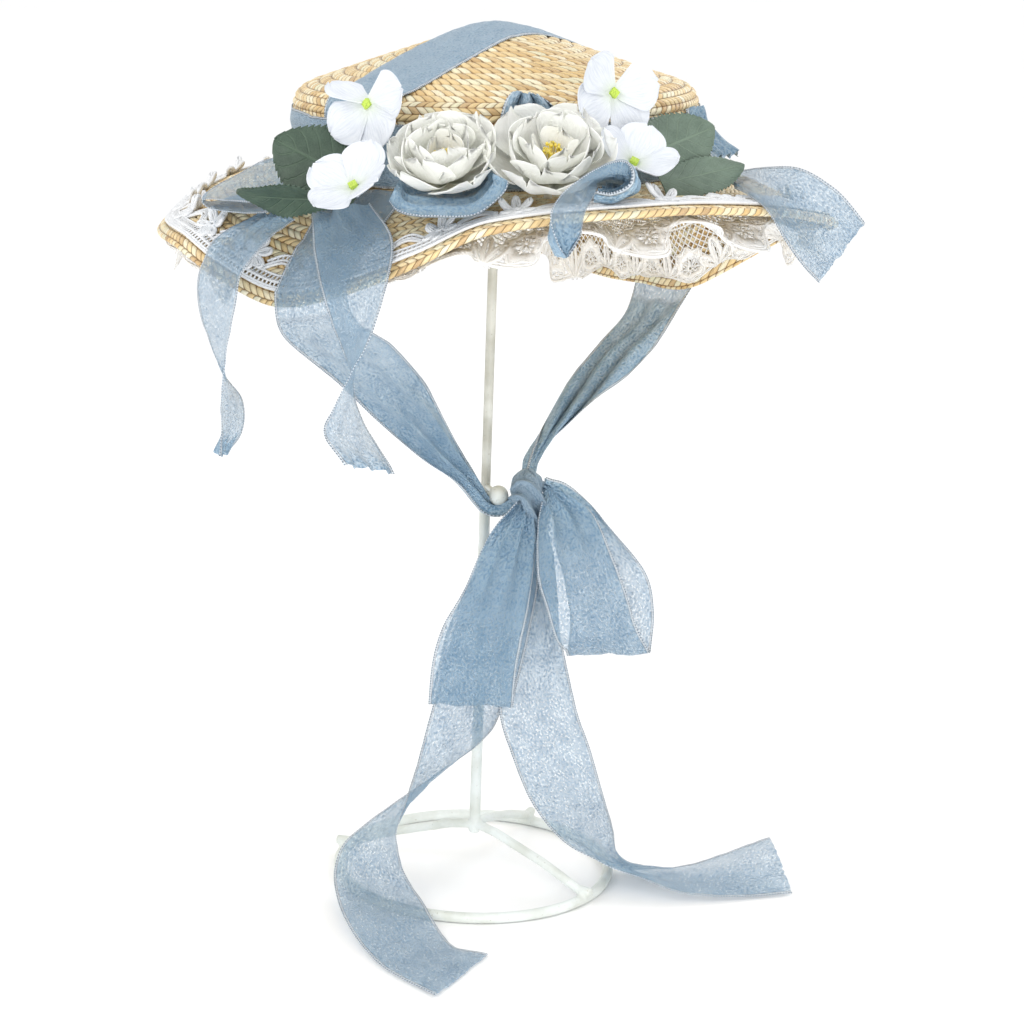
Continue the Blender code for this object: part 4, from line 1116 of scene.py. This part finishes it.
def make_rim_lace():
    """The whole strip of rim lace, worked flat and then laid round the brim."""
    chance = random.Random(7)
    length = DAISIES * DAISY_STEP
    shape = ([], [], [])
    for across, radius in ((0.4, 0.75), (1.5, 0.6), (4.0, 0.7), (7.2, 0.6)):
        thread(shape, straight_cord(length, across, 0.0, 2.0), radius, 5, True)
    rungs = round(length / 2.2)
    for k in range(rungs):
        s = length * k / rungs
        thread(shape, [at(s, 1.3), at(s, 4.2)], 0.5, 4)
    zigs = 2 * round(length / 4.4)
    for phase in (0, 1):
        net = [at(length * k / zigs, 4.0 + 3.4 * ((k + phase) % 2)) for k in range(zigs)]
        thread(shape, net, 0.46, 4, True)
    for n in range(DAISIES):
        middle = (n + 0.5) * DAISY_STEP
        turn = lace_azimuth(middle / length)
        near = min(abs((turn - over + 180.0) % 360.0 - 180.0) for over in CROSSED_AT)
        daisy(shape, at(middle, 12.0, 0.1), min(1.0, max(0.0, near / 5.0 - 1.6)), chance)
        for low, high in ((7.6, 5.6), (9.2, 5.6), (11.6, 5.8)):
            arc = [at(middle + DAISY_STEP * (0.24 + 0.52 * k / 10), low + high * math.sin(math.pi * k / 10))
                   for k in range(11)]
            thread(shape, arc, 0.62, 5)
        for k in range(1, 8):
            s, up = middle + DAISY_STEP * (0.24 + 0.52 * k / 8), math.sin(math.pi * k / 8)
            thread(shape, [at(s, 9.2 + 5.6 * up), at(s, 11.6 + 5.8 * up)], 0.45, 4)
    return [BONNET @ on_brim(lace_azimuth(s / length), LACE_EDGE + 0.95 * across, LACE_LIFT + height)
            for s, across, height in shape[0]], shape[1]


def lay(name, worked, yarn, slot, node):
    """A finished lace."""
    piece = build(name, *worked)
    fit(piece, yarn, slot, node)


lay("crochet_rim_lace", make_rim_lace(), WHITE_YARN, "white_lace", "rim_lace")

# A wide gathered frill of cream chemical lace is sewn under the brim: a ladder heading, round
# medallions and slit leaves on a diamond net, and a scalloped cord along its hanging edge.
FRILL_WIDTH = 36.0
RUFFLE_WIDTH = 34.0
MEDALLIONS = 36
MEDALLION_STEP = 30.0
NET_STEP = 3.75
CREAM_YARN = make_yarn("cream_chemical_lace", (0.93, 0.91, 0.87), (0.985, 0.98, 0.965), 45.0)


def pressed(azimuth):
    """How far the ties hold the frill in: 1 under a tie and 0 away from it."""
    found = 0.0
    for tie_azimuth in (TIE_LEFT_AZ, TIE_RIGHT_AZ):
        off = abs((azimuth - tie_azimuth + 180.0) % 360.0 - 180.0)
        found = max(found, min(1.0, (22.0 - off) / 6.0))
    return max(0.0, found)


def frill_point(azimuth, across, height):
    """A point of the frill, across from its heading to its hanging edge, in the bonnet's frame."""
    seat = -STRAW - 0.9
    held = pressed(azimuth)
    wave = 0.5 - 0.5 * math.cos(math.radians(18.0 * azimuth) - 0.25 * math.pi)
    fold = 9.0 * wave * (1.0 - held)
    spots = ((RUFFLE_WIDTH, seat - 0.5), (0.62 * RUFFLE_WIDTH, seat - 0.9 - 0.5 * fold),
             (0.26 * RUFFLE_WIDTH, seat - 1.3 - 0.8 * fold),
             (RUFFLE_WIDTH - 33.6 - 5.0 * wave + 6.5 * held, seat - 2.8 - 1.3 * fold))
    share = across / FRILL_WIDTH
    place = min(2.999, max(0.0, 3.0 * share))
    k = int(place)
    t = place - k
    from_edge = spots[k][0] + (spots[k + 1][0] - spots[k][0]) * t
    lift = spots[k][1] + (spots[k + 1][1] - spots[k][1]) * t
    sway = 1.5 * math.sin(math.radians(36.0 * azimuth) - 0.5 * math.pi) * (1.0 - held) * share ** 2
    uneven = 1.3 * noise.noise(Vector((azimuth * 0.09, across * 0.05, 3.0))) * share
    return on_brim(azimuth + sway, from_edge, lift - height + min(0.0, uneven) * 2.0)


def plate(shape, centre, inner, outer, lobes, depth, count):
    """A flat ring of close stitching, its rim drawn out in lobes."""
    points, faces, values = shape
    first, size = len(points), len(faces)
    for k in range(count):
        turn = 2 * math.pi * k / count
        far = outer * (1.0 + depth * math.cos(lobes * turn))
        aim = at(math.cos(turn), math.sin(turn))
        for reach, height in ((inner, 0.3), (far, 0.3), (far, -0.3), (inner, -0.3)):
            points.append(centre + reach * aim + at(0.0, 0.0, height))
    for k in range(count):
        low, high = first + 4 * k, first + 4 * ((k + 1) % count)
        for n in range(4):
            m = (n + 1) % 4
            faces.append((low + n, low + m, high + m, high + n))
    values += [(0.0, 0.0, 0.0)] * (4 * (len(faces) - size))


def make_frill():
    """The whole frill, worked flat and then gathered under the brim."""
    length = MEDALLIONS * MEDALLION_STEP
    shape = ([], [], [])
    for across, radius in ((0.8, 0.55), (3.6, 0.5)):
        thread(shape, straight_cord(length, across, 0.0, 2.5), radius, 4, True)
    rungs = round(length / 2.5)
    for k in range(rungs):
        s = length * k / rungs
        thread(shape, [at(s, 0.7), at(s, 3.7)], 0.4, 3)
    for k in range(round(length / NET_STEP)):
        for lean in (1.0, -1.0):
            thread(shape, [at(NET_STEP * k + lean * 3.6 * n, 3.6 + 3.5 * n) for n in range(9)], 0.34, 3)
    for n in range(MEDALLIONS):
        middle = at((n + 0.5) * MEDALLION_STEP, 23.5)
        plate(shape, middle, 4.6, 9.0, 8, 0.12, 32)
        plate(shape, middle, 0.8, 2.4, 8, 0.0, 8)
        thread(shape, [middle + polar(11.25 * k, 9.2 * (1.0 + 0.12 * math.cos(math.pi * k / 2.0)), 0.0)
                       for k in range(32)], 0.8, 4, True)
        for k in range(8):
            aim = polar(45.0 * k, 1.0, 0.0)
            thread(shape, [middle + 1.6 * aim, middle + 5.2 * aim], 0.65, 4)
        root = at((n + 1.0) * MEDALLION_STEP, 31.0)
        for angle, reach in ((-90, 17.0), (-128, 13.0), (-52, 13.0)):
            thread(shape, loop_petal(root, angle, 1.0, reach, 5.2, 0.0, 14), 1.0, 5, True)
            thread(shape, loop_petal(root, angle, 2.0, reach - 1.6, 2.6, 0.0, 8), 0.7, 4, True)
    for depth, radius in ((35.6, 0.6), (34.2, 0.6)):
        edge = [at(MEDALLION_STEP * k / 16, depth - 5.6 * abs(math.cos(math.pi * k / 16)) ** 1.5)
                for k in range(16 * MEDALLIONS)]
        thread(shape, edge, radius, 5, True)
    return [BONNET @ frill_point(360.0 * s / length, across, height)
            for s, across, height in shape[0]], shape[1]


lay("frill_under_brim", make_frill(), CREAM_YARN, "cream_lace", "under_lace")

# Four saw-edged leaves of starched cotton, dark green on the left and a greyer green on the
# right, are wired to the brim behind the flowers, with a pressed midrib and side veins.
# Name, foot, tip, width and turn about the rib in degrees
LEAVES = (
    ("leaf_left_upper", (-52, -95, 5.0), (-88, -87, 21.0), 37, -58),
    ("leaf_left_lower", (-66, -109, 0.5), (-103, -99, 0.4), 21, 44),
    ("leaf_right_upper", (61, -86, 15), (90, -64, 23.5), 29, 58),
    ("leaf_right_lower", (68, -94, 5), (102, -73, 9.0), 19, 46),
)
COTTON = 0.5
LEAF_TEETH = 19.0


def make_leaf_finish(name, dark, light, rib):
    """Waxed cotton leaf: pale veins, a mottled blade and a soft sheen."""
    made, tree, shader = finish_of(name, 0.5)
    along, across = marks_of(tree, "cloth")[:2]
    off = sums(tree, "ABSOLUTE", across)
    patch, fine = mottle(tree, 140.0, 1600.0)
    slanted = sums(tree, "SUBTRACT", along, sums(tree, "MULTIPLY", off, 0.30))
    side_vein = sums(tree, "SINE", sums(tree, "MULTIPLY", slanted, 44.0))
    veins = sums(tree, "MAXIMUM", ranged(tree, side_vein, 0.86, 0.99, 0.0, 0.7),
                 ranged(tree, off, 0.02, 0.06, 1.0, 0.0))
    blade = ramp(tree, sums(tree, "MULTIPLY_ADD", fine, 0.4, sums(tree, "MULTIPLY", patch, 0.6)),
                 (0.35, dark), (0.65, light))
    height = sums(tree, "MULTIPLY_ADD", fine, 0.25, sums(tree, "SUBTRACT", 1.0, veins))
    wear(tree, shader, blend(tree, veins, blade, (*rib, 1.0)), height, 0.6, 0.0006,
         sums(tree, "MULTIPLY_ADD", patch, 0.3, 0.36))
    return made


DARK_LEAF = make_leaf_finish("dark_cotton_leaf", (0.034, 0.062, 0.042), (0.070, 0.112, 0.076),
                             (0.075, 0.122, 0.080))
GREY_LEAF = make_leaf_finish("grey_cotton_leaf", (0.095, 0.140, 0.105), (0.155, 0.215, 0.165),
                             (0.165, 0.230, 0.170))


def leaf(name, base, tip, width, turn, finish, seed):
    """One leaf along its rib: a rounded blade with teeth, cupped, with its tip curled."""
    start_at, end_at = Vector(base), Vector(tip)
    rib = (end_at - start_at).normalized()
    level = rib.cross(Vector((0.0, 0.0, 1.0))).normalized()
    side = Matrix.Rotation(math.radians(turn), 3, rib) @ level
    up = rib.cross(side)
    rows = []
    count, columns = 112, 18
    for i in range(count + 1):
        v = i / count
        shape = math.sin(math.pi * min(1.0, 0.10 + 0.90 * v ** 1.02)) ** 0.62 + 0.015
        tooth = (LEAF_TEETH * v) % 1.0
        row = []
        for j in range(columns + 1):
            u = 2.0 * j / columns - 1.0
            reach = 0.5 * width * shape * (1.0 - 0.13 * tooth * abs(u) ** 3)
            wave = 0.9 * abs(u) ** 2 * math.sin(9.0 * v + seed + (1.5 if u > 0 else 0.0))
            crush = 0.25 * noise.noise(Vector((v * 9.0, u * 4.0, seed)))
            cup = 0.16 * reach * abs(u) ** 1.4 + wave - 1.6 * v ** 3 + crush
            point = start_at + (end_at - start_at) * v + u * reach * side + cup * up
            row.append((BONNET @ point, (v, u, 0.0)))
        rows.append(row)
    return cloth("cotton_" + name, *parted(rows), COTTON, finish, "green_leaf", [name])


for number, (name, base, tip, width, turn) in enumerate(LEAVES):
    leaf(name, base, tip, width, turn, DARK_LEAF if number < 2 else GREY_LEAF, 1.7 * number)

# Four white silk florets, two on each side, have four broad petals pressed out of one piece and
# a small lime-green square eye. Each stands on a short stalk.
# x, y, z, heading and rise of the face, petal length, stalk, (place, lean, roll) of each petal
FLORETS = (
    (-49.7, -86.5, 35.8, 236, 8, 19.5, 13.0, ((20, 2, 0), (183, 16, 74), (224, 8, 0), (305, 2, 0))),
    (-54.0, -118, 6.2, 244, 52, 19.5, 4.6, ((82, 20, 0), (166, 10, 0), (246, 12, 0), (340, 26, 0))),
    (48.0, -84.6, 39.8, 300, 14, 19.0, 18.1, ((8, 8, 0), (134, 14, 0), (204, 2, 0), (298, -2, 0))),
    (56.0, -102, 13.5, 300, 54, 18.3, 6.0, ((50, 16, 0), (142, 26, 0), (236, 26, 0), (324, 24, 0))),
)


def make_petal_finish(name, shade, light, heart, eye, glow):
    """Dyed silk petals with faint creases that run from the heart, whose troughs are darkened with painted
    shade, and a coloured middle. glow is how far light soaks into them. The mark petal holds across, along
    and 1 where it is eye."""
    made, tree, shader = finish_of(name, 0.62)
    shader.inputs["Subsurface Weight"].default_value = glow
    shader.inputs["Subsurface Radius"].default_value = (1.0, 1.0, 0.95)
    shader.inputs["Subsurface Scale"].default_value = 0.003
    across, along, role = marks_of(tree, "petal")
    patch, fine = mottle(tree, 120.0, 1800.0)
    flat = joined(tree, sums(tree, "MULTIPLY", across, 9.0), sums(tree, "MULTIPLY", along, 1.6), role)
    crease = cloud(tree, flat, 1.5, 3.0, distortion=0.3)
    # Painted shade: the crease troughs, which the bump also sinks, take the darker shade colour, with
    # uneven patches of the silk mixed in.
    tone = ramp(tree, sums(tree, "MULTIPLY_ADD", patch, 0.35, sums(tree, "MULTIPLY", crease, 0.65)),
                (0.33, shade), (0.58, light))
    blade = blend(tree, ranged(tree, along, 0.0, 0.38, 0.75, 0.0), tone, (*heart, 1.0))
    is_eye = sums(tree, "GREATER_THAN", role, 0.5)
    middle = ramp(tree, fine, (0.3, tuple(0.62 * c for c in eye)), (0.6, eye))
    wear(tree, shader, blend(tree, is_eye, blade, middle),
         sums(tree, "MULTIPLY_ADD", fine, 0.3, crease), 0.45, 0.0009,
         sums(tree, "MULTIPLY_ADD", fine, 0.25, 0.48))
    return made


FLORET_SILK = make_petal_finish("white_silk_petals", (0.63, 0.67, 0.74), (0.76, 0.79, 0.84),
                                (0.72, 0.78, 0.68), (0.55, 0.74, 0.10), 0.1)


def facing(x, y, z, turn, rise):
    """Placement of a flower whose face looks along a heading and a rise."""
    aim = heading(turn, rise).to_track_quat("Z", "Y").to_matrix().to_4x4()
    return BONNET @ Matrix.Translation((x, y, z)) @ aim


def add(shape, more, place_at=Matrix()):
    """Add the points, faces and values of one shape to another, where it is placed."""
    first = len(shape[0])
    shape[0].extend([place_at @ point for point in more[0]])
    shape[1].extend([tuple(first + v for v in face) for face in more[1]])
    shape[2].extend(more[2])


def flower(name, shape, silk, slot, node):
    """The finished piece of one flower."""
    piece = build(name, shape[0], shape[1], "petal", shape[2])
    fit(piece, silk, slot, node)
    smooth(piece, 55.0)


def petal(place_at, azimuth, base, length, width, low, high, bowl, ripple, seed, lift=0.0, roll=0.0):
    """One petal: its middle line rises from the angle low to the angle high, its sides are
    lifted by bowl and its rim is rippled. roll turns it about its middle line."""
    turned = place_at @ Matrix.Rotation(math.radians(azimuth), 4, "Z")
    turned = turned @ Matrix.Rotation(math.radians(roll), 4, "X")
    rows = []
    reach, height = base, lift
    count, columns = 16, 14
    for i in range(count + 1):
        v = i / count
        if i:
            angle = math.radians(low + (high - low) * v ** 1.3)
            reach += length / count * math.cos(angle)
            height += length / count * math.sin(angle)
        round_off = (v - 0.60) / 0.40 if v > 0.60 else 0.0
        half = 0.5 * width * math.sqrt(max(0.03, 1.0 - round_off ** 2)) * min(1.0, 0.30 + 1.25 * v)
        row = []
        for j in range(columns + 1):
            u = 2.0 * j / columns - 1.0
            wave = ripple * v * v * (math.sin(5.2 * u + seed) + 0.6 * math.sin(9.0 * u + 2.0 * seed))
            crush = 0.35 * noise.noise(Vector((u * 2.5, v * 3.0, seed)))
            rise = bowl * half * u * u + wave + crush
            inward = 0.10 * half * u * u
            row.append((turned @ Vector((reach - inward, u * half, height + rise)), (u, v, 0.0)))
        rows.append(row)
    return shell(*parted(rows), SILK)


def floret(number, x, y, z, turn, rise, size, stalk, petals):
    """One floret: four petals, each with its place round the eye and its tilt, and a stalk."""
    chance = random.Random(100 + number)
    place_at = facing(x, y, z, turn, rise)
    shape = ([], [], [])
    for azimuth, lean, roll in petals:
        add(shape, petal(place_at, azimuth, 1.6, size - 1.0, 1.06 * size, lean,
                         lean + chance.uniform(6.0, 20.0), chance.uniform(0.02, 0.16), 0.45,
                         chance.uniform(0, 6), 0.9, roll))
    middle = ([], [], [])
    thread(middle, [at(0.0, 0.0, up) for up in (1.0, -0.4, 0.4 - stalk)], 0.9, 8, value=(0.0, 0.9, 0.0))
    thread(middle, [at(0.0, 0.0, up) for up in (0.6, 2.2, 2.6)], 2.3, 4, value=(0.0, 0.5, 1.0))
    add(shape, middle, place_at)
    flower(f"silk_floret_{number}", shape, FLORET_SILK, "white_petal", f"floret_{number}")


for number, row in enumerate(FLORETS, 1):
    floret(number, *row)

# Two full cream peonies sit in front: rings of cupped, waved silk petals round a tuft of yellow
# stamens. The left one is tipped up, and the right one looks at the viewer.
# x, y, z, heading and rise of the face, petal length, depth, how far the petals close in degrees
PEONIES = (
    (-18.8, -112.6, 12.6, 262, 60, 25.0, 19.0, 7.0), (23.4, -113.6, 14.6, 278, 57, 26.0, 20.5, 0.0),
)
# Petals in a ring, their base, length and width as shares of the size, low and high angle, bowl,
# ripple, lift
PEONY_RINGS = (
    (6, 0.06, 1.08, 1.10, 4.0, 62.0, 0.30, 1.5, -4.5), (5, 0.05, 0.95, 1.06, 8.0, 88.0, 0.36, 1.5, -3.0),
    (5, 0.04, 0.80, 0.86, 26.0, 98.0, 0.38, 1.3, -1.5), (3, 0.03, 0.56, 0.58, 48.0, 92.0, 0.36, 1.3, 0.0),
)
STAMENS = 34
PEONY_SILK = make_petal_finish("cream_silk_petals", (0.87, 0.885, 0.80), (0.955, 0.96, 0.895),
                               (0.87, 0.885, 0.64), (0.93, 0.66, 0.08), 0.8)


def peony(number, x, y, z, turn, rise, size, depth, closed):
    """One peony: its rings of petals, a stalk behind them and the stamens."""
    chance = random.Random(200 + number)
    place_at = facing(x, y, z, turn, rise)
    shape = ([], [], [])
    for ring, (count, base, length, width, low, high, bowl, ripple, lift) in enumerate(PEONY_RINGS):
        for k in range(count):
            azimuth = 360.0 * (k + 0.5 * ring) / count + chance.uniform(-9, 9)
            add(shape, petal(place_at, azimuth, base * size + 1.0,
                             length * size * chance.uniform(0.92, 1.05),
                             width * size * chance.uniform(0.9, 1.1), low + closed + chance.uniform(-5, 5),
                             high + closed + chance.uniform(-14, 10), bowl, ripple,
                             chance.uniform(0, 6), lift))
    tuft = ([], [], [])
    thread(tuft, [at(0.0, 0.0, up) for up in (1.0, -3.0, 1.5 - depth)], 1.6, 8, value=(0.0, 0.9, 0.0))
    for k in range(STAMENS):
        aim = polar(chance.uniform(0, 360), chance.uniform(0.8, 4.6), 0.0)
        tall = chance.uniform(6.0, 8.6)
        path = [0.35 * aim, 0.7 * aim + at(0.0, 0.0, 0.6 * tall), aim + at(0.0, 0.0, tall)]
        thread(tuft, path, 0.22, 4, value=(0.0, 0.6, 1.0))
        tip = [path[2] + at(0.0, 0.0, up) for up in (-0.5, 0.0, 0.7)]
        thread(tuft, tip, 0.62, 6, value=(0.0, 0.6, 1.0))
    add(shape, tuft, place_at)
    flower(f"silk_peony_{number}", shape, PEONY_SILK, "cream_petal", f"peony_{number}")


for number, row in enumerate(PEONIES, 1):
    peony(number, *row)

# The bonnet stands on a white table before a white wall under soft daylight from the upper
# left front, with faint contact shadows, and is seen from a little above the brim.
BACKDROP = Vector((0.985, 0.985, 0.985))
CAMERA_PLACE = Vector((12.285, -1138.83, 473.655))
CAMERA_PITCH = math.radians(14.75)
CAMERA_ROLL = math.radians(-2.02)
LENS = 91.4


def make_backdrop():
    """Matt white paint, very slightly uneven."""
    made, tree, shader = finish_of("white_backdrop", 0.95)
    patch, fine = mottle(tree, 3.0, 400.0)
    tone = ramp(tree, patch, (0.3, tuple(BACKDROP * 0.985)), (0.7, tuple(BACKDROP)))
    wear(tree, shader, tone, fine, 0.05, 0.0004)
    return made


floor = start(bpy.ops.mesh.primitive_plane_add, size=14.0)
floor.name = "white_table"
floor.data.materials.append(make_backdrop())

world = bpy.data.worlds.new("soft_daylight")
bpy.context.scene.world = world
world.use_nodes = True
sky = world.node_tree.nodes["Background"]
sky.inputs["Color"].default_value = (1.0, 1.0, 1.0, 1.0)
sky.inputs["Strength"].default_value = 1.03


def window(name, place, aim, width, height, power, colour):
    """A soft rectangular light that looks at a point."""
    lamp = bpy.data.lights.new(name, "AREA")
    lamp.shape = "RECTANGLE"
    lamp.size, lamp.size_y = width, height
    lamp.energy = power
    lamp.color = colour
    made = bpy.data.objects.new(name, lamp)
    bpy.context.scene.collection.objects.link(made)
    made.location = place
    made.rotation_euler = (Vector(aim) - Vector(place)).to_track_quat("-Z", "Y").to_euler()


window("key_window", (-0.9, -1.1, 1.25), (0.0, 0.0, 0.25), 0.8, 0.8, 7.0, (1.0, 0.985, 0.96))
window("rim_window", (0.8, 0.9, 1.0), (0.0, 0.0, 0.3), 0.7, 0.7, 4.0, (0.96, 0.98, 1.0))
window("low_front_fill", (0.25, -1.35, 0.2), (0.0, 0.0, 0.33), 0.9, 0.4, 6.0, (1.0, 1.0, 1.0))

forward = Vector((0.0, math.cos(CAMERA_PITCH), -math.sin(CAMERA_PITCH)))
right = Vector((1.0, 0.0, 0.0))
down = forward.cross(right)
right_edge = math.cos(CAMERA_ROLL) * right + math.sin(CAMERA_ROLL) * down
down_edge = math.cos(CAMERA_ROLL) * down - math.sin(CAMERA_ROLL) * right
turned = Matrix((right_edge, -down_edge, -forward)).transposed().to_4x4()
view = bpy.data.cameras.new("photo_view")
view.lens = LENS
view.sensor_width = 36.0
view.clip_start = 0.01
camera = bpy.data.objects.new("photo_view", view)
bpy.context.scene.collection.objects.link(camera)
camera.matrix_world = Matrix.Translation(STAND + MM * CAMERA_PLACE) @ turned
bpy.context.scene.camera = camera
bpy.context.scene.view_settings.view_transform = "Standard"
